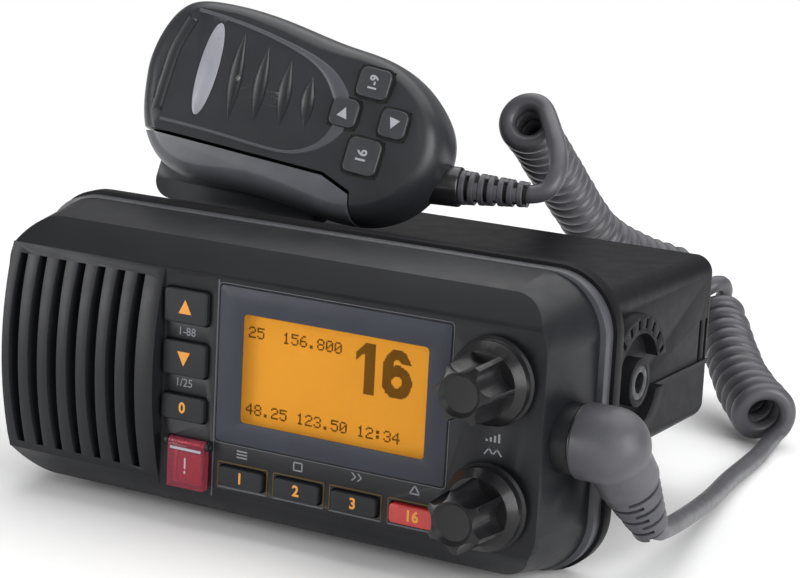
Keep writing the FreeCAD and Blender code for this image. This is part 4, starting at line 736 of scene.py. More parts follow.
def frame_of(width, height, line):
    """The four sides of a rectangle."""
    return [
        bar(width, line, 0, -height / 2), bar(width, line, 0, height / 2),
        bar(line, height, -width / 2, 0), bar(line, height, width / 2, 0),
    ]


def chevron(x, reach=0.0011, width=0.0005):
    """An arrow head that points to the right."""
    right, tip = x + width, x + reach
    return [(x, -reach), (right, -reach), (tip + width, 0), (right, reach), (x, reach), (tip, 0)]


def mark_piece(name, outlines, place, material, body, thick=0.00012):
    parts = [plate(f"{name}_{index}", outline, thick, place) for index, outline in enumerate(outlines)]
    item = parts[0] if len(parts) == 1 else joined(name, parts)
    item.name = name
    return give(item, material, body)


def digits(name, text, height, place, material, body, weight=0.0, thick=0.00012):
    """Plain numbers as a thin plate in place."""
    curve = bpy.data.curves.new(name, "FONT")
    curve.body = text
    curve.size = height / 0.70
    curve.align_x = "CENTER"
    curve.align_y = "CENTER"
    curve.extrude = thick / 2
    curve.offset = weight
    curve.resolution_u = 3
    item = new_item(name, curve)
    bpy.context.view_layer.update()
    mesh = bpy.data.meshes.new_from_object(item.evaluated_get(bpy.context.evaluated_depsgraph_get()))
    bpy.data.objects.remove(item)
    bpy.data.curves.remove(curve)
    mesh.transform(place @ Matrix.Rotation(math.pi / 2, 4, "X"))
    item = new_item(name, mesh)
    return give(item, material, body)


# ---------------------------------------------------------------- the pieces


class MARINE_OT_front_case(bpy.types.Operator):
    """Moulded front case, its gasket and its socket"""

    bl_idname = "marine_radio.front_case"
    bl_label = "Front case"

    def execute(self, context):
        sizes = context.scene.radio_case
        soft_edged("front_bezel", "front_case", "case", RADIO, sizes.edge)
        soft_edged("bezel_gasket", "case_gasket", "gasket", RADIO, 0.0009)
        soft_edged("mic_socket", "socket_ring", "case", RADIO, 0.0006)
        self.seams(sizes)
        self.legends(sizes)
        return {"FINISHED"}

    def seams(self, sizes):
        """Dark seams round the key column, painted highlights along its right edge and under the lower keys,
        and the painted glow of the backlight round the lower keys.
        """
        left, right, low, high = COLUMN
        seam = sizes.seam
        outlines = [
            bar(seam, high - low, left, (low + high) / 2),
            bar(right - left, seam, (left + right) / 2, high),
        ]
        mark_piece("column_seam", outlines, on_panel(0, 0), "dark", RADIO, sizes.print_thick)
        # Painted highlights: a pale line along the key column's right edge, and one under each lower key.
        outlines = [bar(sizes.line, high - low, right, (low + high) / 2)]
        # Painted glow of the backlight, leaking round the sides and tops of the lower keys.
        frames = []
        width, height = LOWER_CAP
        for middle in LOWER_KEYS:
            foot = LOWER_ROW - height / 2 - LOWER_GAP
            wide, tall = width + LOWER_GAP * 2, height + LOWER_GAP * 2
            outlines.append(bar(wide, sizes.line, middle, foot))
            frames += [
                bar(sizes.line, tall, middle - wide / 2, foot + tall / 2),
                bar(sizes.line, tall, middle + wide / 2, foot + tall / 2),
                bar(wide, sizes.line, middle, foot + tall),
            ]
        mark_piece("pale_lines", outlines, on_panel(0, 0), "line", RADIO, sizes.print_thick)
        mark_piece("key_frames", frames, on_panel(0, 0), "outline", RADIO, sizes.print_thick)

    def legends(self, sizes):
        """Generic marks beside the keys and the knobs."""
        thick = sizes.print_thick
        for name, text, x, z in (
            ("channel_mark", "1-88", -0.02415, 0.05565), ("power_mark", "1/25", -0.02456, 0.0410),
        ):
            digits(name, text, LEGEND_HEIGHT, on_panel(x, z), "legend", RADIO, thick=thick)
        for name, x, z, outlines in (
            ("list_mark", -0.0046, 0.0239, [bar(0.0034, LEGEND_LINE, 0, up) for up in (-0.0009, 0, 0.0009)]),
            ("square_mark", 0.0135, 0.0239, frame_of(0.0026, 0.0022, LEGEND_LINE)),
            ("chevron_mark", 0.0315, 0.0245, [chevron(-0.0012), chevron(0.0006)]),
            ("peak_mark", 0.0499, 0.0244, [stroke(*ends, LEGEND_LINE) for ends in PEAK_STROKES]),
            ("volume_mark", 0.0720, 0.0428,
             [bar(0.0006, high, at, high / 2 - 0.0011) for at, high in RISING]),
            ("squelch_mark", 0.0722, 0.0391, [stroke(*ends, LEGEND_LINE) for ends in ZIGZAG_STROKES]),
        ):
            mark_piece(name, outlines, on_panel(x, z), "legend", RADIO, thick)


# The key column's left and right edges, low and high, and the lower row's keys: where, and their caps' size.
COLUMN = (-0.0318, -0.0141, 0.0105, 0.0722)
LOWER_KEYS = (-0.0042, 0.0139, 0.0319, 0.0501)
LOWER_ROW, LOWER_CAP, LOWER_GAP = 0.0173, (0.0143, 0.0054), 0.0009
# The printed signs: the height of digits, the width of lines, and the strokes' ends.
LEGEND_HEIGHT, LEGEND_LINE = 0.0023, 0.0004
PEAK_STROKES = [
    ((-0.0015, -0.0011), (0.0, 0.0012)), ((0.0, 0.0012), (0.0015, -0.0011)),
    ((-0.0015, -0.0011), (0.0015, -0.0011)),
]
RISING = [(-0.0018, 0.0006), (-0.0006, 0.0012), (0.0006, 0.0018), (0.0018, 0.0024)]
ZIGZAG_STROKES = [
    ((-0.0024, -0.0008), (-0.0012, 0.0008)), ((-0.0012, 0.0008), (0.0, -0.0008)),
    ((0.0, -0.0008), (0.0012, 0.0008)), ((0.0012, 0.0008), (0.0024, -0.0008)),
]


class MARINE_OT_display(bpy.types.Operator):
    """Window with its printed border lightened by painted reflection, the amber glass and its picture, with
    the painted shadow and highlight round it
    """

    bl_idname = "marine_radio.display"
    bl_label = "Display"

    def execute(self, context):
        x, z = WINDOW_MIDDLE
        low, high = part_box("display_window")
        front, thick = low.y, high.y - low.y
        outer = round_box(*WINDOW_SIZE, WINDOW_CORNER)
        aside = Vector(SCREEN_MIDDLE) - Vector(WINDOW_MIDDLE)
        inner = [(px + aside.x, pz + aside.y) for px, pz in round_box(*SCREEN_SIZE, SCREEN_CORNER)]
        border_back = Matrix.Translation((x, front + BORDER_THICK, z))
        # The border's tint is its printed tone, lightened with painted reflection of the glass.
        border = ring_band("window_border", outer, inner, BORDER_THICK, border_back)
        rounding = border.modifiers.new("edges", "BEVEL")
        rounding.width = BORDER_THICK / 3
        rounding.segments = 2
        rounding.angle_limit = math.radians(40)
        smooth(plain_mesh(border))
        give(border, "border", RADIO)
        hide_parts("display_window")
        pane_back = Matrix.Translation((x, high.y, z))
        pane = plate("window_pane", outer, thick - BORDER_THICK - BORDER_GAP, pane_back)
        give(pane, "pane", RADIO)
        keep("screen", "lcd", "lcd_glass")
        keep("guide", "light_guide", "backlight")
        self.edges(outer, context.scene.radio_case)
        self.picture()
        return {"FINISHED"}

    def edges(self, outer, sizes):
        """The painted shadow along the seam round the window, and the painted highlight of the edge outside
        it.
        """
        place = on_panel(*WINDOW_MIDDLE)
        both_sides = Vector((2, 2))
        shadow_size = Vector(WINDOW_SIZE) + both_sides * sizes.seam
        highlight_size = Vector(WINDOW_SIZE) + both_sides * (sizes.seam + sizes.line / 2)
        shadow_outer = round_box(*shadow_size, SHADOW_CORNER)
        highlight_outer = round_box(*highlight_size, HIGHLIGHT_CORNER)
        # Painted shadow: a dark ring round the window, where its recess leaves a shade line.
        seam = ring_band("window_seam", shadow_outer, outer, sizes.print_thick, place)
        give(seam, "dark", RADIO)
        # Painted highlight of the window's edge: a pale ring outside the painted shadow.
        line = ring_band("window_line", highlight_outer, shadow_outer, sizes.print_thick, place)
        give(line, "line", RADIO)

    def picture(self):
        """Digits drawn with square dots, on the glass."""
        glass_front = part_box("lcd_glass")[0].y
        points = big_points(DOT)
        for line, top in PICTURE_LINES:
            points += dot_points(line, PICTURE_LEFT, top, DOT)
        mesh = bpy.data.meshes.new("screen_digits")
        mesh.from_pydata([(px, glass_front - DOT_RISE, pz) for px, pz in points], [], [])
        item = run_tree(new_item("screen_digits", mesh), picture_tree(), {
            "Dot width": DOT * DOT_SHARE, "Dot thickness": DOT_THICK, "Finish": MATERIALS["pixel"],
        })
        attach(item, RADIO)


# The window: its printed border's thickness and the gap behind it, and the corners of what lies round it.
# The border is lightened with painted reflection, and the corners include those of the painted shadow and
# highlight round the window.
BORDER_THICK, BORDER_GAP = 0.0004, 0.00005
WINDOW_CORNER, SCREEN_CORNER = 0.001, 0.0012
SHADOW_CORNER, HIGHLIGHT_CORNER = 0.0011, 0.0013
# The picture's dots: their pitch, the share of it that is filled, their thickness, how far before the glass.
DOT, DOT_SHARE, DOT_THICK, DOT_RISE = 0.000455, 0.97, 0.0001, 0.00009
# The lines of small digits, with the height of their tops, and where they begin.
PICTURE_LINES = (("25  156.800", 0.0596), ("48.25 123.50 12:34", 0.0379))
PICTURE_LEFT = -0.0055
# Each small digit as rows of dots, from the top.
SMALL_SHAPES = {
    "0": ("01110", "10001", "10011", "10101", "11001", "10001", "01110"),
    "1": ("00100", "01100", "00100", "00100", "00100", "00100", "01110"),
    "2": ("01110", "10001", "00001", "00110", "01000", "10000", "11111"),
    "3": ("01110", "10001", "00001", "00110", "00001", "10001", "01110"),
    "4": ("00010", "00110", "01010", "10010", "11111", "00010", "00010"),
    "5": ("11111", "10000", "11110", "00001", "00001", "10001", "01110"),
    "6": ("00110", "01000", "10000", "11110", "10001", "10001", "01110"),
    "8": ("01110", "10001", "10001", "01110", "10001", "10001", "01110"),
    ".": ("00000", "00000", "00000", "00000", "00000", "01100", "01100"),
    ":": ("00000", "01100", "01100", "00000", "01100", "01100", "00000"),
    " ": ("00000",) * 7,
}
# The two large digits: left and right edge of each, their low and high edges, and their stroke.
BIG_ONE = (0.0286, 0.0339)
BIG_SIX = (0.0365, 0.0457)
BIG_LOW, BIG_HIGH, BIG_STROKE = 0.0472, 0.0608, 0.0030


def big_points(pitch):
    """The dots of the two large digits."""
    found = []
    for (left, right), inside in ((BIG_ONE, inside_one), (BIG_SIX, inside_six)):
        for column in range(round((right - left) / pitch) + 1):
            for row in range(round((BIG_HIGH - BIG_LOW) / pitch) + 1):
                x, z = left + column * pitch, BIG_LOW + row * pitch
                if inside(x, z):
                    found.append((x, z))
    return found


def inside_one(x, z):
    """Whether a point is in the upright stroke or the slanted flag of the 1."""
    upright = BIG_ONE[1] - BIG_STROKE
    if x > upright:
        return True
    slant = BIG_HIGH - (upright - x) * 0.9
    return slant - BIG_STROKE * 0.9 < z < slant - BIG_STROKE * 0.1


def inside_oval(x, z, middle, half_w, half_h):
    return ((x - middle[0]) / half_w) ** 2 + ((z - middle[1]) / half_h) ** 2 <= 1


def inside_six(x, z):
    """Whether a point is in the round bowl or the long back of the 6."""
    left, right = BIG_SIX
    half_w = (right - left) / 2
    middle_x = left + half_w
    bowl = (middle_x, BIG_LOW + half_w)
    whole = (middle_x, (BIG_LOW + BIG_HIGH) / 2)
    half_h = (BIG_HIGH - BIG_LOW) / 2
    hole = half_w - BIG_STROKE
    if inside_oval(x, z, bowl, half_w, half_w):
        return not inside_oval(x, z, bowl, hole, hole)
    hole_h = half_h - BIG_STROKE * 0.9
    ring = inside_oval(x, z, whole, half_w, half_h) and not inside_oval(x, z, whole, hole, hole_h)
    return ring and (x < middle_x or z > BIG_HIGH - BIG_STROKE * 1.3)


def dot_points(text, left, top, pitch):
    """Where the dots of a line of digits stand."""
    found = []
    for character in text:
        rows = SMALL_SHAPES[character]
        for row, dots in enumerate(rows):
            for column, dot in enumerate(dots):
                if dot == "1":
                    found.append((left + column * pitch, top - row * pitch))
        left += (len(rows[0]) + 1) * pitch
    return found


KEY_MARKS = {
    "key_up": ("up_cap", "up_key"), "key_down": ("down_cap", "down_key"),
    "key_enter": ("enter_cap", "enter_key"), "key_one": ("first_cap", "first_key"),
    "key_two": ("second_cap", "second_key"), "key_three": ("third_cap", "third_key"),
    "key_sixteen": ("sixteen_cap", "sixteen_key"), "distress_key": ("red_cap", "red_key"),
}
# The marks on the caps: the arrows' width and height, the digits' height, and the weight of their strokes.
ARROW_SIZE = (0.0042, 0.0040)
KEY_DIGITS, KEY_WEIGHT = 0.0030, 0.00012


class MARINE_OT_keys(bpy.types.Operator):
    """Key caps with their orange marks, and what lies behind them"""

    bl_idname = "marine_radio.keys"
    bl_label = "Keys"

    def execute(self, context):
        edge = context.scene.radio_case.cap_edge
        for node, (name, body) in KEY_MARKS.items():
            red = node in ("key_sixteen", "distress_key")
            soft_edged(node, name, "red" if red else "key", body, edge)
        keep("key", "key_rubber", "keypad_mat")
        keep("board", "board", "front_board")
        self.marks()
        return {"FINISHED"}

    def cap_front(self, node):
        """The frame at the middle of a cap's front."""
        low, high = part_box(node)
        return Matrix.Translation(((low.x + high.x) / 2, low.y, (low.z + high.z) / 2))

    def marks(self):
        for node, name, up in (("key_up", "up_mark", True), ("key_down", "down_mark", False)):
            outline = triangle(*ARROW_SIZE, up=up)
            mark_piece(name, [outline], self.cap_front(node), "lit_mark", KEY_MARKS[node][1])
        for node, name, text in (
            ("key_enter", "enter_mark", "0"), ("key_one", "first_mark", "1"),
            ("key_two", "second_mark", "2"), ("key_three", "third_mark", "3"),
            ("key_sixteen", "sixteen_mark", "16"),
        ):
            body = KEY_MARKS[node][1]
            digits(name, text, KEY_DIGITS, self.cap_front(node), "lit_mark", body, weight=KEY_WEIGHT)


class MARINE_OT_flap(bpy.types.Operator):
    """Clear red flap over the red key, with its pin"""

    bl_idname = "marine_radio.flap"
    bl_label = "Flap"

    def execute(self, context):
        soft_edged("distress_flap", "red_flap", "flap", "flap", 0.0004)
        keep("steel", "steel", "flap_pin")
        low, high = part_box("distress_flap")
        middle, wide = (low.x + high.x) / 2, high.x - low.x
        face = Matrix.Translation((middle, low.y, low.z))
        tall = high.z - low.z
        # Painted highlight along the flap's upper front edge.
        line = bar(wide * FLAP_HIGHLIGHT[0], FLAP_HIGHLIGHT[1], 0, tall * FLAP_HIGHLIGHT[2])
        mark_piece("flap_bar", [line], face, "mark", "flap")
        strokes = [stroke(*ends, FLAP_STROKE) for ends in FLAP_STROKES]
        middle_up = Matrix.Translation((0, 0, tall * FLAP_MARK_UP))
        mark_piece("flap_mark", strokes, face @ middle_up, "mark", "flap")
        return {"FINISHED"}


# The flap's painted highlight, a pale line along its upper front: its share of the width, its own height and
# how far up it lies.
FLAP_HIGHLIGHT = (0.86, 0.0007, 0.80)
FLAP_STROKE, FLAP_MARK_UP = 0.0005, 0.45
# A plain exclamation stroke with its dot.
FLAP_STROKES = [((0.0, -0.0004), (0.0, 0.0022)), ((0.0, -0.0018), (0.0, -0.0015))]


class MARINE_OT_knobs(bpy.types.Operator):
    """Fluted knobs, their shafts and controls"""

    bl_idname = "marine_radio.knobs"
    bl_label = "Knobs"

    def execute(self, context):
        edge = context.scene.radio_case.knob_edge
        for name in ("volume", "squelch"):
            soft_edged(f"{name}_knob", f"{name}_grip", "knob", name, edge, segments=3)
            keep("steel", "steel", f"{name}_shaft")
            keep("can", "can", f"{name}_pot")
        keep("brass", "brass_nickel", "pot_nuts")
        return {"FINISHED"}


class MARINE_OT_speaker(bpy.types.Operator):
    """Speaker behind its cloth"""

    bl_idname = "marine_radio.speaker"
    bl_label = "Speaker"

    def execute(self, context):
        keep("cloth", "cloth", "grille_cloth")
        keep("steel", "speaker_steel", "speaker_frame", "speaker_magnet")
        keep("paper", "paper", "speaker_cone")
        return {"FINISHED"}


class MARINE_OT_chassis(bpy.types.Operator):
    """Cast chassis with its inserts, screws and connectors"""

    bl_idname = "marine_radio.chassis"
    bl_label = "Chassis"

    def execute(self, context):
        edge = context.scene.radio_case.chassis_edge
        soft_edged("rear_chassis", "cast_chassis", "chassis", RADIO, edge)
        soft_edged("bracket_inserts", "bracket_threads", "dull", RADIO, 0.0002)
        soft_edged("case_screws", "rear_screws", "steel", RADIO, 0.0003)
        soft_edged("antenna_connector", "antenna_socket", "brass", RADIO, 0.0003)
        soft_edged("power_gland", "power_boot", "relief", RADIO, 0.0004)
        soft_edged("accessory_gland", "accessory_boot", "relief", RADIO, 0.0004)
        return {"FINISHED"}


class MARINE_OT_electronics(bpy.types.Operator):
    """Boards, radio module and screws inside"""

    bl_idname = "marine_radio.electronics"
    bl_label = "Electronics"

    def execute(self, context):
        keep("board", "board", "main_board", "mic_board")
        keep("can", "can", "rf_module", "mic_capsule")
        keep("steel", "steel", "board_screws", "mic_screws")
        keep("key", "key_rubber", "ptt_switch")
        return {"FINISHED"}


# The face's pointed grooves, from tip to tip, and how far their middle bows to the left.
GROOVE_BOW = 0.0007
GROOVES = [
    ((-0.0227, 0.0158), (-0.0203, -0.0118)), ((-0.0142, 0.0135), (-0.0122, -0.0104)),
    ((-0.0061, 0.0110), (-0.0040, -0.0093)), ((0.0017, 0.0082), (0.0038, -0.0082)),
]
# The ridge round the grooves, where along it it is widest and how far that widening spreads.
RIDGE = [
    (-0.0390, 0.0190), (-0.0257, 0.0186), (-0.0047, 0.0148), (0.0050, 0.0112),
    (0.0110, 0.0060), (0.0148, -0.0006), (0.0135, -0.0068), (0.0095, -0.0122), (0.0030, -0.0158),
    (-0.0046, -0.0167), (-0.0281, -0.0156), (-0.0415, -0.0158),
]
RIDGE_MIDDLE, RIDGE_SPREAD = 0.42, 0.20
# The shallow channel beside the plate.
CHANNEL_DEPTH = 0.0011
CHANNEL = [(-0.0402, 0.0165), (-0.0428, 0.0090), (-0.0436, 0.0010), (-0.0436, -0.0135)]


class MARINE_OT_microphone(bpy.types.Operator):
    """Shells of the microphone with the grooved face, its bar, plate and stud"""

    bl_idname = "marine_radio.microphone"
    bl_label = "Microphone"

    def execute(self, context):
        sizes = context.scene.radio_mic
        shell = soft_edged("mic_front_shell", "mic_face", "mic", MICROPHONE, 0)
        self.carve(shell, sizes)
        soft_edged("mic_rear_shell", "mic_back", "mic", MICROPHONE, 0)
        soft_edged("ptt_button", "talk_bar_cover", "talk", "talk_bar", 0)
        soft_edged("mic_label_plate", "blank_plate", "plate", MICROPHONE, 0.00015)
        soft_edged("mic_hanger_stud", "hanger_stud", "steel", MICROPHONE, 0.0004)
        soft_edged("mic_collar", "cable_collar", "collar", MICROPHONE, 0.0006)
        return {"FINISHED"}

    def carve(self, shell, sizes):
        """Cuts the pointed grooves out of the face, and lays the ridge round them."""
        cutters = []
        for index, (top, bottom) in enumerate(GROOVES, 1):
            bow = Vector(((top[0] + bottom[0]) / 2 - GROOVE_BOW, (top[1] + bottom[1]) / 2))
            route = [MIC_FRAME @ Vector((x, 0, z)) for x, z in (top, bow, bottom)]
            path = spline_points(route, steps=24)

            def section(share):
                swell = max(math.sin(math.pi * share), 0.03)
                return sizes.groove / 2 * swell, sizes.groove_depth * swell

            cutters.append(swept(f"groove_{index}", path, section))
        route = spline_points([MIC_FRAME @ Vector((x, 0, z)) for x, z in CHANNEL], steps=12)
        cutters.append(swept("channel", route, lambda share: (sizes.channel / 2, CHANNEL_DEPTH)))
        cutter = joined("groove_cutter", cutters)
        carve = shell.modifiers.new("grooves", "BOOLEAN")
        carve.operation = "DIFFERENCE"
        carve.object = cutter
        carve.solver = "EXACT"
        plain_mesh(shell)
        bpy.data.objects.remove(cutter)
        smooth(shell, 30)
        shell.data.materials.clear()
        shell.data.materials.append(MATERIALS["mic"])
        ridge_path = spline_points([MIC_FRAME @ Vector((x, 0, z)) for x, z in RIDGE], steps=8)

        def band(share):
            swell = math.exp(-((share - RIDGE_MIDDLE) / RIDGE_SPREAD) ** 2)
            return (sizes.ridge + (sizes.ridge_wide - sizes.ridge) * swell) / 2, sizes.ridge_rise

        ridge = swept("face_band", ridge_path, band)
        give(ridge, "band", MICROPHONE)


MIC_KEYS = {
    "mic_key_scan": ("scan_cap", "mic_scan"), "mic_key_up": ("mic_up_cap", "mic_up"),
    "mic_key_down": ("mic_down_cap", "mic_down"), "mic_key_sixteen": ("mic_sixteen_cap", "mic_sixteen"),
}
# The rim of each key: its place on the face, and the size of the cap inside it.
KEY_RIMS = [
    ("scan_rim", 0.0211, 0.0101, 0.0100, 0.0090), ("mic_up_rim", 0.0147, -0.0004, 0.0084, 0.0086),
    ("mic_down_rim", 0.0303, -0.0002, 0.0084, 0.0086), ("mic_sixteen_rim", 0.0239, -0.0117, 0.0104, 0.0108),
]
RIM_CORNER, RIM_THICK = 0.0020, 0.00015
# The marks on the caps: how far they stand over the face, the arrows' size and lean, the digits' weight.
CAP_RISE = 0.0013
MIC_ARROW, ARROW_LEAN = (0.0034, 0.0032), math.radians(10)
MIC_DIGIT_WEIGHT = 0.0001


class MARINE_OT_mic_keys(bpy.types.Operator):
    """Four keys of the microphone with their marks"""

    bl_idname = "marine_radio.mic_keys"
    bl_label = "Microphone keys"

    def execute(self, context):
        for node, (name, body) in MIC_KEYS.items():
            soft_edged(node, name, "mic_key", body, 0.0005)
        sizes = context.scene.radio_mic
        for name, x, z, wide, tall in KEY_RIMS:
            inner = round_box(wide, tall, RIM_CORNER)
            outer = round_box(wide + sizes.rim * 2, tall + sizes.rim * 2, RIM_CORNER + sizes.rim)
            rim = ring_band(name, outer, inner, RIM_THICK, on_mic(x, z))
            give(rim, "dark", MICROPHONE)
        places = {rim[0]: (rim[1], rim[2], -CAP_RISE) for rim in KEY_RIMS}
        for name, rim, body, up in (
            ("mic_up_mark", "mic_up_rim", "mic_up", True),
            ("mic_down_mark", "mic_down_rim", "mic_down", False),
        ):
            outline = triangle(*MIC_ARROW, up=up)
            mark_piece(name, [outline], on_mic(*places[rim], ARROW_LEAN), "mark", body)
        for name, rim, body, text, height in (
            ("scan_mark", "scan_rim", "mic_scan", "1-9", 0.0026),
            ("mic_sixteen_mark", "mic_sixteen_rim", "mic_sixteen", "16", 0.0030),
        ):
            place = on_mic(*places[rim], -math.pi / 2)
            digits(name, text, height, place, "mark", body, MIC_DIGIT_WEIGHT)
        return {"FINISHED"}


# The reliefs' first and last radius, and the dark core inside them: its shares of those, and its sides.
PLUG_RELIEF_RADII, MIC_RELIEF_RADII = (0.0082, 0.0052), (0.0052, 0.0039)
CORE_SHARES, CORE_SIDES = (0.78, 0.80), 24


def aimed(start, aim):
    """A frame whose z runs along aim from start."""
    return Matrix.Translation(start) @ aim.to_track_quat("Z", "X").to_matrix().to_4x4()


class MARINE_OT_plug(bpy.types.Operator):
    """Elbow plug in the socket, and the slotted reliefs at both ends of the cord"""

    bl_idname = "marine_radio.plug"
    bl_label = "Plug and reliefs"

    def execute(self, context):
        soft_edged("plug_body", "elbow_plug", "relief", RADIO, 0.0008)
        soft_edged("plug_ring", "plug_collar", "collar", RADIO, 0.0003)
        rings = context.scene.radio_cord.relief_rings
        tree = relief_tree()
        ring = relief_ring()
        mic_start = MIC_FRAME @ (CABLE_START + CABLE_AIM * COLLAR_LENGTH)
        mic_aim = MIC_FRAME.to_3x3() @ CABLE_AIM
        for name, node, place, length, radii, body in (
            ("plug_sleeve", "plug_relief", aimed(ELBOW + LEG_AIM * LEG_LENGTH, LEG_AIM),
             PLUG_RELIEF_LENGTH, PLUG_RELIEF_RADII, RADIO),
            ("mic_sleeve", "mic_relief", aimed(mic_start, mic_aim),
             MIC_RELIEF_LENGTH, MIC_RELIEF_RADII, MICROPHONE),
        ):
            item = run_tree(new_item(name, bpy.data.meshes.new(name)), tree, {
                "Rings": rings, "Length": length, "First radius": radii[0], "Last radius": radii[1],
                "Ring": ring, "Finish": MATERIALS["relief"],
            })
            item.data.transform(place)
            smooth(item)
            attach(item, body)
            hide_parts(node)
            core = []
            for radius, at in ((radii[0] * CORE_SHARES[0], 0.0), (radii[1] * CORE_SHARES[1], length)):
                angles = [math.tau * side / CORE_SIDES for side in range(CORE_SIDES)]
                circle = [(radius * math.cos(angle), radius * math.sin(angle), at) for angle in angles]
                core.append([place @ Vector(point) for point in circle])
            core = smooth(solid_from(f"{name}_core", core))
            give(core, "dark", body)
        bpy.data.objects.remove(ring)
        return {"FINISHED"}


class MARINE_OT_cord(bpy.types.Operator):
    """Curly cord from the plug's relief to the microphone's, as one tube"""

    bl_idname = "marine_radio.cord"
    bl_label = "Cord"

    def execute(self, context):
        sizes = context.scene.radio_cord
        exit_point = ELBOW + LEG_AIM * (LEG_LENGTH + PLUG_RELIEF_LENGTH)
        tail = [exit_point - LEG_AIM * inside for inside in TAIL_INSIDE]
        tail += [Vector(point) for point in TAIL_POINTS]
        mic_aim = (MIC_FRAME.to_3x3() @ CABLE_AIM).normalized()
        mic_end = MIC_FRAME @ (CABLE_START + CABLE_AIM * (COLLAR_LENGTH + MIC_RELIEF_LENGTH))
        lead = [Vector(point) for point in LEAD_POINTS]
        lead += [mic_end + mic_aim * LEAD_STRAIGHT, mic_end - mic_aim * LEAD_INSIDE]
        route = tail + self.turns(sizes) + lead
        path = spline_points(route, CORD_STEPS)
        item = smooth(new_item("curly_cord", spline_mesh(route, CORD_STEPS, sizes.radius)), 60)
        item.data.materials.clear()
        item.data.materials.append(MATERIALS["cord"])
        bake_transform(item)
        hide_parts("cord_tail", "cord_coil", "cord_lead")
        length = sum((second - first).length for first, second in zip(path, path[1:]))
        print(f"cord length {length:.4f} m, {len(route)} control points")
        return {"FINISHED"}

    def turns(self, sizes):
        """The helix round the coil's middle line, from the lower end to the upper.

        Turns lie close to each other, and further apart where the line bends."""
        middle = spline_points([Vector(point) for point in COIL_POINTS], steps=24)
        along = (middle[1] - middle[0]).normalized()
        up = (Vector((0, 0, 1)) - along * along.z).normalized()
        frames = []
        turned = 0.0
        for index, point in enumerate(middle):
            after = middle[min(index + 3, len(middle) - 1)]
            before = middle[max(index - 3, 0)]
            next_along = (after - before).normalized()
            if index:
                gap = (point - middle[index - 1]).length
                crowding = sizes.turn * self.bend(middle, index)
                turned += gap / (sizes.pitch / max(1 - crowding, LEAST_CROWDING))
            along = next_along
            up = (up - along * up.dot(along)).normalized()
            frames.append((turned, point, along.cross(up), up))
        last_right, last_up = frames[-1][2], frames[-1][3]
        side = LEAD_SIDE - along * LEAD_SIDE.dot(along)
        last_angle = math.atan2(side.dot(last_up), side.dot(last_right))
        count = round((turned * math.tau + FIRST_ANGLE - last_angle) / math.tau)
        span = count * math.tau + last_angle - FIRST_ANGLE
        steps = round(span / math.tau * TURN_POINTS)
        found = []
        for step in range(steps + 1):
            share = step / steps
            angle = FIRST_ANGLE + span * share
            point, right, upward = self.frame_at(frames, share * turned)
            lower = max(0.0, 1 - share * count / LOOSE_TURNS)
            upper = max(0.0, 1 - (1 - share) * count / UPPER_TURNS)
            radius = sizes.turn + (sizes.last_turn - sizes.turn) * lower
            radius += (sizes.first_turn - sizes.turn) * upper
            wave = WAVE_MEAN + SHORT_WAVE[0] * math.sin(angle * SHORT_WAVE[1])
            radius *= wave + LONG_WAVE[0] * math.sin(angle * LONG_WAVE[1] + 1)
            found.append(point + right * radius * math.cos(angle) + upward * radius * math.sin(angle))
        return found

    def bend(self, middle, index, reach=6):
        """How sharply the middle line bends at one of its points."""
        before, here = middle[max(index - reach, 0)], middle[index]
        after = middle[min(index + reach, len(middle) - 1)]
        first, second = here - before, after - here
        if min(first.length, second.length) == 0:
            return 0.0
        return first.angle(second) / ((first.length + second.length) / 2)

    def frame_at(self, frames, turned):
        """A point and two directions across the coil, after so many turns."""
        for (low, *first), (high, *second) in zip(frames, frames[1:]):
            if turned <= high:
                mix = (turned - low) / (high - low)
                return [a.lerp(b, mix) for a, b in zip(first, second)]
        return frames[-1][1:]


# How many turns widen towards the coil's lower and upper end.
LOOSE_TURNS, UPPER_TURNS = 11, 2.4
# The angle of the first turn's start, the control points of a turn, and the least share left by a bend.
FIRST_ANGLE, TURN_POINTS, LEAST_CROWDING = math.radians(-58), 14, 0.45
# The turns' small unevenness: its mean, and the size and rate of a short and of a long wave.
WAVE_MEAN, SHORT_WAVE, LONG_WAVE = 1.012, (0.012, 0.37), (0.008, 0.11)
# The steps between two control points, and how far the cord's ends run inside and out of the reliefs.
CORD_STEPS = 5
TAIL_INSIDE, LEAD_STRAIGHT, LEAD_INSIDE = (0.008, 0.003), 0.0045, 0.003


# How far the floor reaches, and where its paint begins to turn plain white and is white.
FLOOR_REACH, FLOOR_FADE = 40.0, (0.45, 1.10)
# Each lamp's place, what it points at, its width and its power.
LAMPS = (
    ("top_light", (0.0, 0.95, 1.7), (0, 0.85, 0), 2.6, 38),
    ("right_light", (1.10, -0.30, 0.38), (0, 0, 0.05), 0.8, 11),
    ("left_light", (-0.66, -0.72, 0.14), (-0.07, 0, 0.03), 0.5, 5),
    ("front_light", (0.75, -1.1, 0.70), (0, 0, 0.08), 0.7, 2.5),
)
SKY_STRENGTH = 0.30


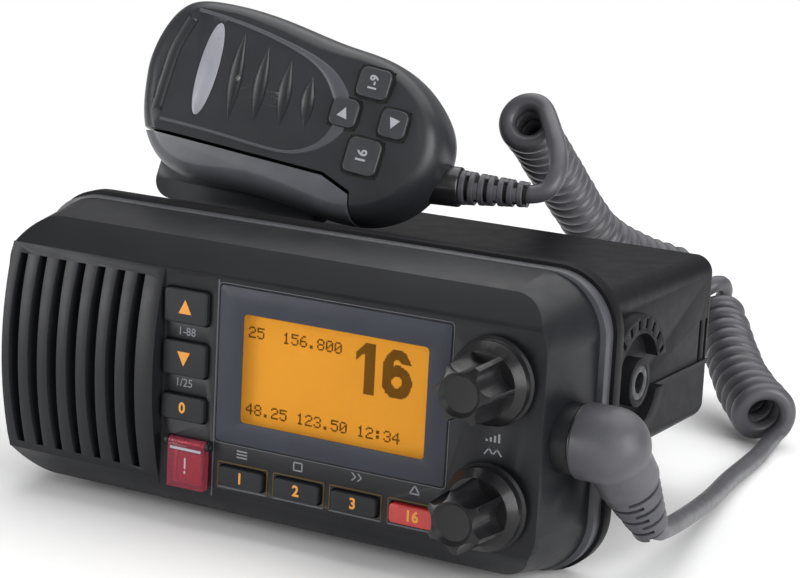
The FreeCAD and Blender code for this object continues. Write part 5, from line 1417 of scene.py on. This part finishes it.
class MARINE_OT_stage(bpy.types.Operator):
    """Pale floor, soft lights and the camera"""

    bl_idname = "marine_radio.stage"
    bl_label = "Stage"

    def execute(self, context):
        shape = bmesh.new()
        reach = FLOOR_REACH
        signs = ((-1, -1), (1, -1), (1, 1), (-1, 1))
        shape.faces.new([shape.verts.new((x * reach, y * reach, 0)) for x, y in signs])
        mesh = bpy.data.meshes.new("pale_floor")
        shape.to_mesh(mesh)
        shape.free()
        floor = new_item("pale_floor", mesh)
        mesh.materials.append(self.pale_finish())
        self.lights(context)
        self.sky(context)
        camera = bpy.data.objects.new("camera", bpy.data.cameras.new("camera"))
        context.scene.collection.objects.link(camera)
        camera.matrix_world = (
            Matrix.Translation(CAMERA_PLACE)
            @ Matrix.Rotation(CAMERA_TURN, 4, "Z")
            @ Matrix.Rotation(math.pi / 2 - CAMERA_DROP, 4, "X")
            @ Matrix.Rotation(CAMERA_ROLL, 4, "Z")
        )
        camera.data.lens = CAMERA_LENS
        camera.data.sensor_width = 36.0
        camera.data.clip_start = 0.01
        camera.data.clip_end = 50.0
        context.scene.camera = camera
        context.scene.view_settings.view_transform = "Standard"
        return {"FINISHED"}

    def pale_finish(self):
        """Pale paint near the radio, where its shadow falls, and plain white further out."""
        material = bpy.data.materials.new("Pale floor")
        material.use_nodes = True
        tree = material.node_tree
        shader = tree.nodes["Principled BSDF"]
        shader.inputs["Base Color"].default_value = (0.98, 0.98, 0.98, 1)
        shader.inputs["Roughness"].default_value = 0.8
        rays = tree.nodes.new("ShaderNodeLightPath")
        place = tree.nodes.new("ShaderNodeTexCoord")
        away = tree.nodes.new("ShaderNodeVectorMath")
        away.operation = "LENGTH"
        tree.links.new(place.outputs["Object"], away.inputs[0])
        seen = self.sum_of(tree, rays.outputs["Is Camera Ray"], rays.outputs["Is Glossy Ray"])
        seen = self.sum_of(tree, seen, rays.outputs["Is Transmission Ray"])
        fade = tree.nodes.new("ShaderNodeMapRange")
        fade.inputs["From Min"].default_value = FLOOR_FADE[0]
        fade.inputs["From Max"].default_value = FLOOR_FADE[1]
        tree.links.new(away.outputs["Value"], fade.inputs["Value"])
        share = tree.nodes.new("ShaderNodeMath")
        share.operation = "MULTIPLY"
        tree.links.new(seen, share.inputs[0])
        tree.links.new(fade.outputs["Result"], share.inputs[1])
        white = tree.nodes.new("ShaderNodeEmission")
        mix = tree.nodes.new("ShaderNodeMixShader")
        tree.links.new(share.outputs["Value"], mix.inputs["Fac"])
        tree.links.new(shader.outputs["BSDF"], mix.inputs[1])
        tree.links.new(white.outputs["Emission"], mix.inputs[2])
        tree.links.new(mix.outputs["Shader"], tree.nodes["Material Output"].inputs["Surface"])
        return material

    def sum_of(self, tree, first, second):
        total = tree.nodes.new("ShaderNodeMath")
        total.operation = "ADD"
        total.use_clamp = True
        tree.links.new(first, total.inputs[0])
        tree.links.new(second, total.inputs[1])
        return total.outputs["Value"]

    def lights(self, context):
        for name, place, aim, width, power in LAMPS:
            lamp = bpy.data.lights.new(name, "AREA")
            lamp.shape = "SQUARE"
            lamp.size = width
            lamp.energy = power
            item = bpy.data.objects.new(name, lamp)
            context.scene.collection.objects.link(item)
            item.location = place
            item.rotation_mode = "QUATERNION"
            item.rotation_quaternion = (Vector(place) - Vector(aim)).to_track_quat("Z", "Y")

    def sky(self, context):
        """Even light all round."""
        world = bpy.data.worlds.new("soft_sky")
        context.scene.world = world
        world.use_nodes = True
        tree = world.node_tree
        light = tree.nodes["Background"]
        light.inputs["Color"].default_value = (1, 1, 1, 1)
        light.inputs["Strength"].default_value = SKY_STRENGTH


class MARINE_PT_panel(bpy.types.Panel):
    """Lists the pieces and the sizes of the marine radio"""

    bl_label = "Marine radio"
    bl_idname = "MARINE_PT_panel"
    bl_space_type = "VIEW_3D"
    bl_region_type = "UI"
    bl_category = "Marine radio"

    def draw(self, context):
        column = self.layout.column(align=True)
        for operator in OPERATORS:
            column.operator(operator.bl_idname)
        for group in GROUPS:
            settings = getattr(context.scene, group)
            box = self.layout.box()
            for name in settings.__annotations__:
                box.prop(settings, name)


GROUPS = {"radio_case": CaseSizes, "radio_cord": CordSizes, "radio_mic": MicSizes, "radio_tints": Finishes}
OPERATORS = (
    MARINE_OT_stage, MARINE_OT_front_case, MARINE_OT_display, MARINE_OT_keys, MARINE_OT_flap,
    MARINE_OT_knobs, MARINE_OT_speaker, MARINE_OT_chassis, MARINE_OT_electronics,
    MARINE_OT_microphone, MARINE_OT_mic_keys, MARINE_OT_plug, MARINE_OT_cord,
)


def register():
    for name, group in GROUPS.items():
        bpy.utils.register_class(group)
        setattr(bpy.types.Scene, name, bpy.props.PointerProperty(type=group))
    for operator in OPERATORS:
        bpy.utils.register_class(operator)
    bpy.utils.register_class(MARINE_PT_panel)


def unregister():
    bpy.utils.unregister_class(MARINE_PT_panel)
    for operator in reversed(OPERATORS):
        bpy.utils.unregister_class(operator)
    for name, group in GROUPS.items():
        delattr(bpy.types.Scene, name)
        bpy.utils.unregister_class(group)


def main():
    register()
    mix_finishes(bpy.context.scene.radio_tints)
    for operator in OPERATORS:
        group, name = operator.bl_idname.split(".")
        getattr(getattr(bpy.ops, group), name)()


if __name__ == "__main__":
    main()
